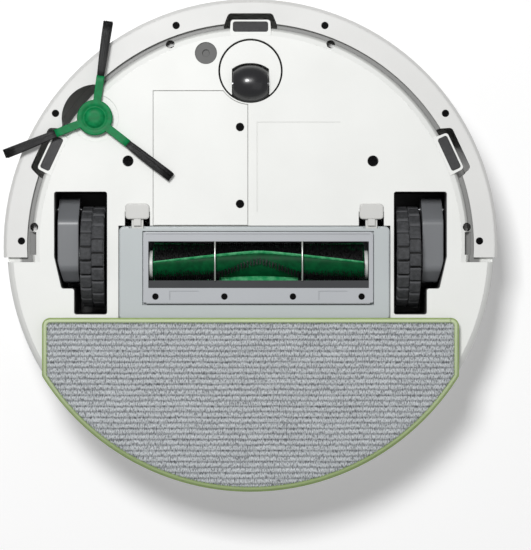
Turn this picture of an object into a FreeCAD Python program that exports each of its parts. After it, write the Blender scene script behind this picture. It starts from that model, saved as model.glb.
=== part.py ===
"""Robot vacuum with a mop pad. Millimetres, +Z up, standing on the floor at z = 0.

The origin is on the floor under the middle of the round body. The front, with the bumper, faces -Y.
"""

import FreeCAD, Part
import math
import os
import re
import Sketcher

Vector = FreeCAD.Vector
doc = FreeCAD.newDocument("robot_vacuum")

# ---------------------------------------------------------------- driving dimensions
sheet = doc.addObject("Spreadsheet::Sheet", "Sizes")
SIZES = {
    # whole body
    "body_radius": 168.5,
    "body_height": 81,
    "floor_gap": 9,
    "skin": 2.4,
    "fit": 0.4,
    "running": 0.05,
    # base
    "bumper_depth": 18.9,
    "base_slope": 6,
    "base_rise": 8,
    "base_wall_top": 24,
    "rear_inset": 6.9,
    "rear_lean": 29,
    "rear_wall_front": 11.2,
    "notch_rear": 11,
    "lip_gap": 0.7,
    "lip_thick": 1.8,
    "pocket_reach": 9.4,
    "side_pocket": 22,
    "edge_hole_radius": 3,
    "edge_hole_inset": 1.6,
    "slot_front": -9.5,
    "slot_rear": 6,
    "panel_x": 4.4,
    "panel_front": -84.3,
    "panel_long": 61,
    "panel_wide": 56.6,
    "panel_groove": 0.6,
    # bumper
    "bumper_gap": 2.7,
    "bumper_low": 12.5,
    "bumper_under": 1.9,
    "bumper_end": 7.8,
    "bumper_ring_thick": 2.4,
    "bumper_screw_head": 2.4,
    # top
    "cover_drop": 11.6,
    "dome_reach": 28.5,
    "clean_radius": 13,
    "clean_front": 62,
    "dock_radius": 6,
    "dock_front": 96,
    "press_gap": 0.3,
    # battery
    "door_left": -66,
    "door_right": -2,
    "door_front": -105.4,
    "door_rear": -14.3,
    "door_thick": 1.9,
    "door_ledge": 2.5,
    "door_screw_x": -7.1,
    "door_screw_front": -80.9,
    "door_screw_rear": -28.6,
    "battery_tall": 31,
    # suction fan
    "fan_x": 47,
    "fan_y": -62,
    "fan_radius": 29,
    "impeller_radius": 25,
    # caster
    "caster_margin": 8.5,
    "caster_ring": 21.9,
    "caster_gap": 1.2,
    "caster_sink": 2,
    "socket_lip": 0.9,
    "caster_trail": 8.6,
    "caster_wheel_radius": 12.75,
    "caster_wheel_wide": 23.6,
    "caster_crown": 4,
    "caster_axle_radius": 1.5,
    "caster_tall": 19,
    # side brush
    "side_x": -105.7,
    "side_y": -87.1,
    "side_hub_radius": 12.1,
    "side_hub_low": 3.6,
    "side_hub_thick": 4.6,
    "side_arm_reach": 29,
    "side_arm_wide": 5.4,
    "tuft_reach": 66.5,
    "tuft_root": 4.8,
    "tuft_tip": 6.3,
    "tuft_thick": 1.6,
    "side_shaft_radius": 4,
    "side_motor_radius": 8,
    "side_motor_low": 15.6,
    # sensors
    "window_inset": 0.4,
    "window_long": 24,
    "window_wide": 7,
    "window_side_angle": 25,
    "tracker_x": -30.3,
    "tracker_y": -131.2,
    "tracker_radius": 7.5,
    # wheels and wells
    "wheel_x": 107.6,
    "wheel_y": 7.3,
    "wheel_radius": 34.5,
    "wheel_wide": 16,
    "tread_thick": 6.5,
    "well_out": 26,
    "well_in": 10.1,
    "well_ahead": 9.8,
    "well_behind": 4.8,
    "well_shelf": 12.4,
    "well_shelf_back": 17.6,
    "well_head": 2,
    "well_wall": 1.8,
    "arm_side_gap": 2,
    "arm_wide": 14.2,
    "arm_slack": 5.5,
    "arm_ahead": 8,
    "arm_below": 20,
    "arm_tall": 41.5,
    "pivot_inset": 2.2,
    "pivot_rise": 5.5,
    "pivot_radius": 2,
    "wheel_shaft": 2.5,
    # cleaning head
    "mouth_left": -69.3,
    "mouth_right": 80.3,
    "mouth_ahead": 15.8,
    "mouth_behind": 15.8,
    "guard_side": 3.7,
    "guard_side_right": 3.1,
    "guard_front_bar": 6.6,
    "guard_rear_bar": 10.9,
    "guard_low": 5.4,
    "guard_thick": 3,
    "guard_edge": 0.5,
    "body_screw_x": 83.3,
    "body_screw_y": -57.8,
    "hinge_radius": 1,
    "head_side": 16.4,
    "head_side_right": 11.3,
    "head_front_bar": 3.7,
    "head_low": 6.6,
    "head_edge": 1.3,
    "head_roof": 2.1,
    "wiper_wide": 5.1,
    "hinge_room": 0.8,
    "guard_screw_inset": 5.1,
    "wire_radius": 0.6,
    "wire_low": 1.5,
    "wire_rise": 3.35,
    "wire_left": -24.1,
    "wire_right": 35.1,
    "brush_y": 12.7,
    "brush_z": 18.5,
    "brush_radius": 15.2,
    "brush_core": 6.5,
    "brush_twist": 31,
    "tunnel_gap": 1.8,
    "cap_wide": 2.6,
    "cap_radius": 9.6,
    "gear_module": 1,
    "gear_teeth": 16,
    "idler_teeth": 20,
    "pinion_teeth": 12,
    "gear_wide": 4.5,
    "gear_offset": 6.3,
    "gear_pin": 2,
    # release tabs
    "tab_x": 76.9,
    "tab_right_x": 82.2,
    "tab_wide": 16.3,
    "tab_deep": 10.6,
    "tab_ahead": 4.8,
    "tab_low": 6.6,
    "tab_travel": 3,
    # bin and tank
    "bay_half": 118,
    "bay_front": 51.6,
    "bin_fit": 1,
    "bin_under": 3.4,
    "bin_wall": 2,
    "bin_floor": 3.5,
    "divider_y": 108,
    "lid_thick": 2.4,
    "button_half": 14,
    "button_low": 48,
    "button_high": 60,
    "plug_x": 62,
    "plug_y": 132,
    "plug_radius": 9,
    "rail_x": 60,
    "rail_wide": 6,
    "rail_tall": 2.2,
    # mop
    "mop_half": 141.2,
    "mop_overlap": 3,
    "mop_inset": 2.1,
    "mop_corner": 5.5,
    "pad_thick": 4.6,
    "plate_thick": 3.6,
    "plate_inset": 2.5,
}

# what follows from the driving dimensions
DERIVED = {
    "base_radius": "(body_radius - bumper_depth)",
    "face_radius": "(base_radius - base_slope)",
    "rear_edge_radius": "(body_radius - rear_inset)",
    "cover_low": "(body_height - cover_drop)",
    "bumper_high": "(cover_low - bumper_under)",
    "top_flat": "(body_radius - dome_reach)",
    "window_radius": "(base_radius - window_inset)",
    "caster_front": "(base_radius - caster_ring - caster_margin)",
    "well_outer": "(wheel_x + well_out)",
    "well_inner": "(wheel_x - well_in)",
    "well_step": "(wheel_x + well_shelf)",
    "well_front": "(wheel_y - wheel_radius - well_ahead)",
    "well_rear": "(wheel_y + wheel_radius + well_behind)",
    "well_side_rear": "(well_rear - well_shelf_back)",
    "well_roof": "(2 * wheel_radius + well_head)",
    "arm_outer": "(well_outer - arm_side_gap)",
    "arm_inner": "(arm_outer - arm_wide)",
    "arm_low": "(wheel_radius - arm_below)",
    "arm_high": "(arm_low + arm_tall)",
    "rim_radius": "(wheel_radius - tread_thick)",
    "pivot_y": "(wheel_y - wheel_radius + pivot_inset)",
    "pivot_z": "(wheel_radius + pivot_rise)",
    "arm_front": "(pivot_y - arm_ahead)",
    "arm_rear": "(arm_front + 2 * (wheel_radius - arm_slack))",
    "tunnel_radius": "(brush_radius + tunnel_gap)",
    "mouth_front": "(brush_y - mouth_ahead)",
    "mouth_rear": "(brush_y + mouth_behind)",
    "wiper_front": "(mouth_rear - wiper_wide)",
    "guard_left": "(mouth_left - guard_side)",
    "guard_right": "(mouth_right + guard_side_right)",
    "guard_front": "(mouth_front - guard_front_bar)",
    "guard_rear": "(mouth_rear + guard_rear_bar)",
    "guard_screw_y": "(guard_rear - guard_screw_inset)",
    "guard_hinge_y": "(guard_rear - hinge_radius)",
    "head_left": "(guard_left - head_side)",
    "head_right": "(guard_right + head_side_right)",
    "head_front": "(guard_front - head_front_bar)",
    "head_rear": "(bay_front - 3 * fit)",
    "head_high": "(brush_z + tunnel_radius + head_roof)",
    "gear_left": "(mouth_right + gear_offset)",
    "tab_rear": "(head_front - tab_ahead)",
    "tab_front": "(tab_rear - tab_deep)",
    "bin_high": "(cover_low - bin_under)",
    "mop_front": "(bay_front - mop_overlap)",
    "mop_radius": "(body_radius - mop_inset)",
}
for row, (alias, value) in enumerate(SIZES.items(), 1):
    sheet.set(f"A{row}", alias)
    sheet.set(f"B{row}", str(value))
    sheet.setAlias(f"B{row}", alias)
doc.recompute()

ALIAS = re.compile(r"\b(" + "|".join(SIZES) + r")\b")
FOLLOWS = re.compile(r"\b(" + "|".join(DERIVED) + r")\b")


def in_driving_sizes(expression):
    """The same expression with each name that follows from others written out."""
    words = str(expression)
    while FOLLOWS.search(words):
        words = FOLLOWS.sub(lambda found: DERIVED[found.group(1)], words)
    return words


def bind(item, name, expression):
    """Ties one property of an object to the sheet."""
    item.setExpression(name, ALIAS.sub(r"Sizes.\1", in_driving_sizes(expression)))


def size(expression):
    """What an expression of size names comes to now, in millimetres."""
    words = ALIAS.sub(lambda found: str(SIZES[found.group(1)]), in_driving_sizes(expression))
    value = sheet.evalExpression(words)
    return float(getattr(value, "Value", value))


# ---------------------------------------------------------------- building blocks
counter = {"made": 0}
parts = {}


def add(kind):
    """A new document object of this kind, with a name of its own."""
    counter["made"] += 1
    return doc.addObject(kind, f"Piece{counter['made']:03d}")


def box(x, y, z):
    """A box from its low and high expressions along each axis."""
    item = add("Part::Box")
    for length, axis, (low, high) in (("Length", "x", x), ("Width", "y", y), ("Height", "z", z)):
        bind(item, length, f"({high}) - ({low})")
        bind(item, f"Placement.Base.{axis}", low)
    return item


def post(x, y, radius, z):
    """An upright cylinder."""
    item = add("Part::Cylinder")
    low, high = z
    bind(item, "Radius", radius)
    bind(item, "Height", f"({high}) - ({low})")
    for axis, value in (("x", x), ("y", y), ("z", low)):
        bind(item, f"Placement.Base.{axis}", value)
    return item


def rod(x, y, z, radius):
    """A cylinder lying along X, from its low to its high X."""
    item = add("Part::Cylinder")
    item.Placement = FreeCAD.Placement(Vector(), FreeCAD.Rotation(Vector(0, 1, 0), 90))
    low, high = x
    bind(item, "Radius", radius)
    bind(item, "Height", f"({high}) - ({low})")
    for axis, value in (("x", low), ("y", y), ("z", z)):
        bind(item, f"Placement.Base.{axis}", value)
    return item


def radial_box(angle, reach, half, z):
    """A box whose length points away from the body's middle at this angle."""
    item = add("Part::Box")
    near, far = reach
    low, high = z
    bind(item, "Length", f"({far}) - ({near})")
    bind(item, "Width", f"2 * ({half})")
    bind(item, "Height", f"({high}) - ({low})")
    bind(item, "Placement.Rotation.Angle", angle)
    bind(item, "Placement.Base.x", f"({near}) * cos({angle}) + ({half}) * sin({angle})")
    bind(item, "Placement.Base.y", f"({near}) * sin({angle}) - ({half}) * cos({angle})")
    bind(item, "Placement.Base.z", low)
    return item


def radial_block(angle, reach, inner_half, outer_half, z, corner):
    """A prism that points away from the body's middle, given its width at both ends and its corners."""
    near, far = reach
    outline = [
        (near, f"-({inner_half})"),
        (far, f"-({outer_half})"),
        (far, outer_half),
        (near, inner_half),
    ]
    item = prism(outline, z, corner)
    bind(item, "Placement.Rotation.Angle", angle)
    return item


def sketch_of(body, role, points):
    """A closed outline of straight edges on one of the body's planes, each corner tied to the sheet."""
    plane = next(o for o in body.Origin.OriginFeatures if o.Role == role)
    outline = body.newObject("Sketcher::SketchObject", body.Name + "Outline")
    outline.AttachmentSupport = [(plane, "")]
    outline.MapMode = "FlatFace"
    values = [[size(c) for c in point] for point in points]
    count = len(points)
    for i in range(count):
        here, there = values[i], values[(i + 1) % count]
        outline.addGeometry(Part.LineSegment(Vector(*here, 0), Vector(*there, 0)))
    for i in range(count):
        outline.addConstraint(Sketcher.Constraint("Coincident", i, 2, (i + 1) % count, 1))
    for i, point in enumerate(points):
        for kind, value, expression in zip(("DistanceX", "DistanceY"), values[i], point):
            made = outline.addConstraint(Sketcher.Constraint(kind, -1, 1, i, 1, value))
            bind(outline, f"Constraints[{made}]", expression)
    return outline


def prism(points, z, corner=None, rim=None):
    """An upright PartDesign pad of an outline, its upright corners and lower rim rounded if asked."""
    body = add("PartDesign::Body")
    outline = sketch_of(body, "XY_Plane", points)
    return finish_pad(body, outline, z, "z", corner, rim)


def side_prism(points, x, corner=None):
    """A PartDesign pad along X of an outline given in Y and Z."""
    body = add("PartDesign::Body")
    outline = sketch_of(body, "YZ_Plane", points)
    return finish_pad(body, outline, x, "x", corner)


def rounded(body, base, edges, radius):
    """A PartDesign fillet of this radius on the edges that are given by their numbers."""
    fillet = body.newObject("PartDesign::Fillet", body.Name + "Fillet")
    fillet.Base = (base, [f"Edge{number + 1}" for number in edges])
    bind(fillet, "Radius", radius)
    doc.recompute()
    return fillet


def finish_pad(body, outline, span, axis, corner, rim=None):
    low, high = span
    pad = body.newObject("PartDesign::Pad", body.Name + "Pad")
    pad.Profile = outline
    bind(pad, "Length", f"({high}) - ({low})")
    bind(body, f"Placement.Base.{axis}", low)
    if corner:
        doc.recompute()
        long_way = {"x": Vector(1, 0, 0), "z": Vector(0, 0, 1)}[axis]
        upright = [
            i
            for i, edge in enumerate(pad.Shape.Edges)
            if abs(abs(edge.tangentAt(edge.FirstParameter).dot(long_way)) - 1) < 1e-6
        ]
        pad = rounded(body, pad, upright, corner)
    if rim:
        doc.recompute()
        lowest = [i for i, edge in enumerate(pad.Shape.Edges) if abs(edge.BoundBox.ZMax) < 1e-6]
        rounded(body, pad, lowest, rim)
    return body


def turned(points):
    """A PartDesign revolution about Z of an outline given as radius and height."""
    body = add("PartDesign::Body")
    outline = sketch_of(body, "XZ_Plane", points)
    turn = body.newObject("PartDesign::Revolution", body.Name + "Turn")
    turn.Profile = outline
    turn.ReferenceAxis = (outline, ["V_Axis"])
    turn.Angle = 360
    return body


def turned_across(points, x, y, z):
    """A revolution about a line along X: each point is its distance along X and its radius."""
    body = turned([(radius, along) for along, radius in points])
    body.Placement = FreeCAD.Placement(Vector(), FreeCAD.Rotation(Vector(0, 1, 0), 90))
    for axis, value in (("x", x), ("y", y), ("z", z)):
        bind(body, f"Placement.Base.{axis}", value)
    return body


def joined(*pieces):
    """One shape of several that touch or overlap."""
    if len(pieces) == 1:
        return pieces[0]
    item = add("Part::MultiFuse")
    item.Shapes = list(pieces)
    return item


def group(*pieces):
    """Several separate solids in one node."""
    item = add("Part::Compound")
    item.Links = list(pieces)
    return item


def cut(base, *tools):
    item = add("Part::Cut")
    item.Base = base
    item.Tool = joined(*tools)
    return item


def shared(one, other):
    item = add("Part::Common")
    item.Base = one
    item.Tool = other
    return item


def mirrored(source):
    """The same shape on the other side of the robot."""
    item = add("Part::Mirroring")
    item.Source = source
    item.Normal = Vector(1, 0, 0)
    return item


def part(label, item):
    """Names a finished sub-part."""
    item.Label = label
    parts[label] = item
    return item


def free_shape(shape):
    """A Part::Feature for a shape that no other kind of object makes."""
    item = add("Part::Feature")
    item.Shape = shape
    return item


BACK = "-body_radius - 5"
FAR = "body_radius + 5"
FLOOR_TOP = "floor_gap + skin"
CASTER_Y = "-caster_front"


# ---------------------------------------------------------------- base: dish, rear side walls, wells
DOOR_SCREWS = ("door_screw_front", "door_screw_rear")
BODY_SCREWS = ("-body_screw_x", "body_screw_x")
CONTACT_ANGLES = (38, 142)


def window_pocket(angle):
    """The dark pocket in the bumper's ring in front of a cliff sensor, to be cut away."""
    return radial_block(
        angle,
        ("base_radius - 3", "window_radius + pocket_reach"),
        "window_long / 2 + 7.6",
        "window_long / 2 + 3",
        (0, "bumper_low + bumper_ring_thick + 6"),
        3,
    )


def make_base():
    """The moulded underside, with the rear side walls, wheel wells and caster socket in one piece."""
    dish = turned(
        [
            (0, "floor_gap"),
            ("face_radius", "floor_gap"),
            ("face_radius + (base_radius - face_radius) * 0.55", "floor_gap + base_rise * 0.16"),
            ("face_radius + (base_radius - face_radius) * 0.9", "floor_gap + base_rise * 0.55"),
            ("base_radius", "floor_gap + base_rise"),
            ("base_radius", "base_wall_top"),
            ("base_radius - 2.2", "base_wall_top"),
            ("base_radius - 2.2", "floor_gap + base_rise"),
            ("face_radius - 1", FLOOR_TOP),
            (0, FLOOR_TOP),
        ]
    )
    front_dish = cut(dish, box((BACK, FAR), ("notch_rear + 3", FAR), (0, "body_height")))
    inner = "body_radius - skin"
    rim = turned(
        [
            (0, "floor_gap"),
            ("rear_edge_radius", "floor_gap"),
            ("rear_edge_radius + 2", "floor_gap + 1.8"),
            ("rear_edge_radius + 4", "floor_gap + 4.4"),
            ("body_radius", "floor_gap + rear_lean"),
            ("body_radius", "cover_low - 0.4"),
            (inner, "cover_low - 0.4"),
            (inner, "floor_gap + rear_lean"),
            ("rear_edge_radius + 1.6", "floor_gap + 4.9"),
            ("rear_edge_radius - 0.4", FLOOR_TOP),
            (0, FLOOR_TOP),
        ]
    )
    rear_low = shared(rim, box((BACK, FAR), ("notch_rear", FAR), (0, "floor_gap + 23")))
    rear_high = shared(
        cut(rim, box((BACK, FAR), (BACK, FAR), (0, "floor_gap + 22"))),
        box((BACK, FAR), ("rear_wall_front", FAR), (0, "body_height")),
    )
    windows = ["-window_side_angle", "180 + window_side_angle", "-90"]
    lip_low = "bumper_low + bumper_ring_thick + lip_gap"
    lip = turned(
        [
            ("base_radius - 1", lip_low),
            ("base_radius + bumper_gap + 0.1", lip_low),
            ("base_radius + bumper_gap + 0.1", f"{lip_low} + lip_thick"),
            ("base_radius - 1", f"{lip_low} + lip_thick"),
        ]
    )
    tongue = turned(
        [
            ("base_radius - 1", lip_low),
            ("body_radius - skin - 0.6", lip_low),
            ("body_radius - skin - 0.6", f"{lip_low} + lip_thick"),
            ("base_radius - 1", f"{lip_low} + lip_thick"),
        ]
    )
    under_lip = cut(
        joined(
            cut(lip, box((BACK, FAR), ("notch_rear", FAR), (0, "body_height"))),
            shared(tongue, box((BACK, FAR), ("bumper_end - 4.4", "notch_rear + 2"), (0, "body_height"))),
        ),
        *[window_pocket(angle) for angle in windows],
        post("side_x", "side_y", "side_pocket + 4", (0, "body_height")),
    )
    bosses = [
        radial_block(
            angle,
            ("window_radius - window_wide / 2 - 3", "window_radius + window_wide / 2 + 1.2"),
            "window_long / 2 + 2.2",
            "window_long / 2 + 1.4",
            ("floor_gap + 0.2", "base_wall_top - 1"),
            2,
        )
        for angle in windows
    ]
    socket = joined(
        post(0, CASTER_Y, "caster_ring + 2.2", ("floor_gap", "floor_gap + caster_tall + 4.4")),
        post(0, CASTER_Y, 7, ("floor_gap + caster_tall + 4", "floor_gap + caster_tall + 14")),
    )
    outer_walls = [
        box(
            (f"{side} * {near} - {grow_low}", f"{side} * {far} + {grow_high}"),
            ("well_front - well_wall", "well_rear + well_wall"),
            ("floor_gap", "well_roof + well_wall"),
        )
        for side, near, far, grow_low, grow_high in (
            ("-1", "well_outer", "well_inner", "well_wall", "well_wall"),
            ("1", "well_inner", "well_outer", "well_wall", "well_wall"),
        )
    ]
    motor_boss = post("side_x", "side_y", "side_motor_radius", ("floor_gap", "side_motor_low"))
    screw_bosses = [post(x, "body_screw_y", 5.6, ("floor_gap", "floor_gap + 8")) for x in BODY_SCREWS]
    hollow_well = prism(
        [
            ("-well_outer", "well_front"),
            ("-well_inner", "well_front"),
            ("-well_inner", "well_rear"),
            ("-well_step", "well_rear"),
            ("-well_step", "well_side_rear"),
            ("-well_outer + 5", "well_side_rear"),
            ("-well_outer", "wheel_y"),
        ],
        (0, "well_roof"),
        "1.7",
    )
    cutters = [
        box(("-bay_half", "bay_half"), ("bay_front", FAR), (0, "body_height")),
        box(
            ("head_left - fit", "head_right + fit"),
            ("head_front - fit", "bay_front + 1"),
            (0, "base_wall_top"),
        ),
        hollow_well,
        mirrored(hollow_well),
        post(0, CASTER_Y, "caster_ring", (0, "floor_gap + caster_tall + 1.6")),
        post(0, CASTER_Y, "4 + running", (0, "body_height")),
        post("side_x", "side_y", 16, (0, "floor_gap + 0.9")),
        post("side_x", "side_y", "side_shaft_radius + 0.4", (0, "base_wall_top")),
        post("tracker_x", "tracker_y", "tracker_radius", (0, "base_wall_top")),
    ]
    for angle in windows:
        cutters.append(
            radial_block(
                angle,
                ("window_radius - window_wide / 2", "window_radius + window_wide / 2"),
                "window_long / 2",
                "window_long / 2",
                (0, "floor_gap + 6"),
                1.6,
            )
        )
    ring = "(base_radius - edge_hole_inset)"
    for angle in (-68.3, -111.7, -5, 185):
        x, y = f"{ring} * cos({angle})", f"{ring} * sin({angle})"
        cutters.append(post(x, y, "edge_hole_radius", (0, "base_wall_top + 1")))
    for low, high in (("base_radius - 3.8", "base_radius + 1"), ("-base_radius - 1", "3.8 - base_radius")):
        cutters.append(box((low, high), ("slot_front", "slot_rear"), (0, "floor_gap + 7")))
    groove = (0, "floor_gap + 0.3")
    panel_side = ("panel_front", "panel_front + panel_long")
    panel_top = ("panel_front", "panel_front + panel_groove")
    cutters.append(box(("panel_x", "panel_x + panel_groove"), panel_side, groove))
    cutters.append(box(("panel_x", "panel_x + panel_wide"), panel_top, groove))
    for side in (-1, 1):
        cutters.append(post(f"{side} * body_screw_x", "body_screw_y", 3.75, (0, "floor_gap + 4")))
        cutters.append(post(f"{side} * body_screw_x", "body_screw_y", 1.7, (0, "floor_gap + 20")))
        tab = "tab_right_x" if side > 0 else "-tab_x"
        cutters.append(
            box(
                (f"{tab} - tab_wide / 2 - fit", f"{tab} + tab_wide / 2 + fit"),
                ("tab_rear - tab_travel - 2.2", "head_front"),
                (0, "base_wall_top"),
            )
        )
    keep = post(0, CASTER_Y, "caster_ring + socket_lip", (0, "body_height"))
    door_seat = cut(
        box(
            ("door_left - fit", "door_right + fit"),
            ("door_front - fit", "door_rear + fit"),
            (0, "floor_gap + door_thick"),
        ),
        keep,
    )
    door_hole = cut(
        box(
            ("door_left + door_ledge", "door_right - door_ledge"),
            ("door_front + door_ledge", "door_rear - door_ledge"),
            (0, "base_wall_top"),
        ),
        post(0, CASTER_Y, "caster_ring + 4.6", (0, "body_height")),
    )
    door_bosses = [
        cut(
            post("door_screw_x", y, 4.6, ("floor_gap + door_thick", "floor_gap + 9")),
            post("door_screw_x", y, 1.25, (0, "floor_gap + 20")),
        )
        for y in DOOR_SCREWS
    ]
    contact_pockets = [
        radial_box(angle, ("body_radius - 2", FAR), 6.1, (43.9, 54.1)) for angle in CONTACT_ANGLES
    ]
    walls = [front_dish, rear_low, rear_high, under_lip, *outer_walls]
    shell = joined(*walls, socket, motor_boss, *bosses, *screw_bosses)
    shell = cut(shell, *cutters, door_seat, door_hole, *contact_pockets)
    part("base_plate", joined(shell, *door_bosses))
    door = cut(
        box(
            ("door_left", "door_right"),
            ("door_front", "door_rear"),
            ("floor_gap", "floor_gap + door_thick"),
        ),
        post(0, CASTER_Y, "caster_ring + socket_lip + fit", (0, "body_height")),
        *[post("door_screw_x", y, 2.9, (0, "floor_gap + 1")) for y in DOOR_SCREWS],
        *[post("door_screw_x", y, 1.4, (0, "floor_gap + 9")) for y in DOOR_SCREWS],
    )
    part("battery_door", door)
    part(
        "cliff_sensor_windows",
        group(
            *[
                radial_block(
                    angle,
                    (
                        "window_radius - window_wide / 2 + 0.15",
                        "window_radius + window_wide / 2 - 0.15",
                    ),
                    "window_long / 2 - 0.15",
                    "window_long / 2 - 0.15",
                    ("floor_gap + 1", "floor_gap + 6"),
                    1.5,
                )
                for angle in windows
            ]
        ),
    )
    part(
        "charging_contacts",
        group(
            *[
                radial_box(angle, ("body_radius - 2", "body_radius - 0.3"), 6, (44, 54))
                for angle in CONTACT_ANGLES
            ]
        ),
    )
    part(
        "floor_tracking_sensor",
        cut(
            post("tracker_x", "tracker_y", "tracker_radius - 0.1", ("floor_gap + 1.2", "floor_gap + 7")),
            post("tracker_x", "tracker_y", 2.5, (0, "floor_gap + 2.4")),
        ),
    )


def screw(x, y, head_low, head_radius, head_tall, shank_radius, length):
    """A screw pointing up: a head with a cross slot, and a plain shank."""
    under = f"{head_low} + {head_tall}"
    solid = joined(
        post(x, y, head_radius, (head_low, f"{head_low} + {head_tall}")),
        post(x, y, shank_radius, (f"{under} - 0.01", f"{under} + {length}")),
    )
    slots = [
        box(
            (f"{x} - {a} * {head_radius}", f"{x} + {a} * {head_radius}"),
            (f"{y} - {b} * {head_radius}", f"{y} + {b} * {head_radius}"),
            (f"{head_low} - 1", f"{head_low} + {head_tall} * 0.45"),
        )
        for a, b in ((0.7, 0.14), (0.14, 0.7))
    ]
    return cut(solid, *slots)


def make_screws():
    part(
        "chassis_screws",
        group(*[screw(x, "body_screw_y", "floor_gap + 2", 3.4, 2, 1.6, 10) for x in BODY_SCREWS]),
    )
    part(
        "door_screws",
        group(
            *[
                screw("door_screw_x", y, "floor_gap + 0.2", 2.7, 0.8, 1.2, 6)
                for y in DOOR_SCREWS
            ]
        ),
    )


# ---------------------------------------------------------------- top cover and its buttons
def make_top():
    """The lid of the body: a shallow dome edge and an upright wall behind the bumper."""
    cover = turned(
        [
            (0, "body_height"),
            ("top_flat", "body_height"),
            ("top_flat + (body_radius - top_flat) * 0.55", "body_height - 1.8"),
            ("top_flat + (body_radius - top_flat) * 0.85", "body_height - 5.2"),
            ("body_radius - 0.3", "cover_low + 1.6"),
            ("body_radius - 0.3", "cover_low"),
            ("body_radius - 0.3 - skin", "cover_low"),
            ("body_radius - 0.3 - skin", "cover_low + 1.2"),
            ("top_flat + (body_radius - top_flat) * 0.8", "body_height - 7.2"),
            ("top_flat + (body_radius - top_flat) * 0.5", "body_height - 4.2"),
            ("top_flat - 1", "body_height - skin"),
            (0, "body_height - skin"),
        ]
    )
    wall = turned(
        [
            ("base_radius - 2.6", "base_wall_top"),
            ("base_radius - 0.2", "base_wall_top"),
            ("base_radius - 0.2", "body_height - 2.6"),
            ("base_radius - 2.6", "body_height - 2.6"),
        ]
    )
    front_wall = cut(wall, box((BACK, FAR), ("notch_rear", FAR), (0, "body_height")))
    holes = [
        post(0, "-clean_front", "clean_radius + press_gap", ("body_height - 10", "body_height + 1")),
        post(0, "-dock_front", "dock_radius + press_gap", ("body_height - 10", "body_height + 1")),
        post(0, -128, "6 + running", ("body_height - 10", "body_height + 1")),
    ]
    part("top_cover", cut(joined(cover, front_wall), *holes))
    for label, radius, front in (
        ("clean_button", "clean_radius", "clean_front"),
        ("dock_button", "dock_radius", "dock_front"),
    ):
        cap = post(0, f"-{front}", radius, ("body_height - 5", "body_height - 0.2"))
        flange = post(0, f"-{front}", f"{radius} + 1.5", ("body_height - 6", "body_height - 3.2"))
        part(label, joined(cap, flange))
    part("dock_sensor_lens", post(0, -128, 6, ("body_height - 3.4", "body_height")))


# ---------------------------------------------------------------- bumper
BUMPER_SCREWS = (("50.7", "-150.3"), ("132.9", "-90.4"), ("156.1", "-3.4"))


def make_bumper():
    """A curved wall with a flat ring screwed under it. Both end beside the rear walls."""
    wall_in = "body_radius - skin"
    shell = turned(
        [
            (wall_in, "bumper_low"),
            ("body_radius - 2", "bumper_low"),
            ("body_radius", "bumper_low + 2"),
            ("body_radius", "bumper_high - 1.6"),
            ("body_radius - 1.6", "bumper_high"),
            ("body_radius - 9", "bumper_high"),
            ("body_radius - 9", "bumper_high - 2"),
            (wall_in, "bumper_high - 2"),
        ]
    )
    ring_in = "base_radius + bumper_gap"
    ring_top = "bumper_low + bumper_ring_thick"
    ring = turned(
        [
            (ring_in, "bumper_low"),
            (wall_in, "bumper_low"),
            (wall_in, ring_top),
            (ring_in, ring_top),
        ]
    )
    rear = box((BACK, FAR), ("bumper_end", FAR), (0, "body_height"))
    part("bumper_shell", cut(shell, rear))
    openings = [window_pocket(angle) for angle in ("-90", "-window_side_angle", "180 + window_side_angle")]
    openings.append(post("side_x", "side_y", "side_pocket + 1", (0, "body_height")))
    places = [(f"{side} * {x}", y) for side in (-1, 1) for x, y in BUMPER_SCREWS]
    for x, y in places:
        openings.append(post(x, y, 1.35, (0, "body_height")))
        openings.append(post(x, y, "bumper_screw_head + 0.1", (0, "bumper_low + 1.2")))
    lugs = [post(x, y, 3.6, (ring_top, f"{ring_top} + 5")) for x, y in places]
    plain = joined(cut(ring, rear), *lugs)
    room = turned([(ring_in, 0), (wall_in, 0), (wall_in, "body_height"), (ring_in, "body_height")])
    part("bumper_ring", cut(shared(plain, room), *openings))
    part(
        "bumper_screws",
        group(*[screw(x, y, "bumper_low + 0.2", "bumper_screw_head", 1, 1.25, 5) for x, y in places]),
    )
    part(
        "bump_switches",
        group(
            *[
                joined(
                    radial_box(angle, ("base_radius - 0.2", "base_radius + 8"), 5, (27, 34)),
                    radial_box(angle, ("base_radius + 7", "body_radius - 5.2"), 1.5, (29, 32)),
                )
                for angle in (-125, -55)
            ]
        ),
    )


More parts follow.
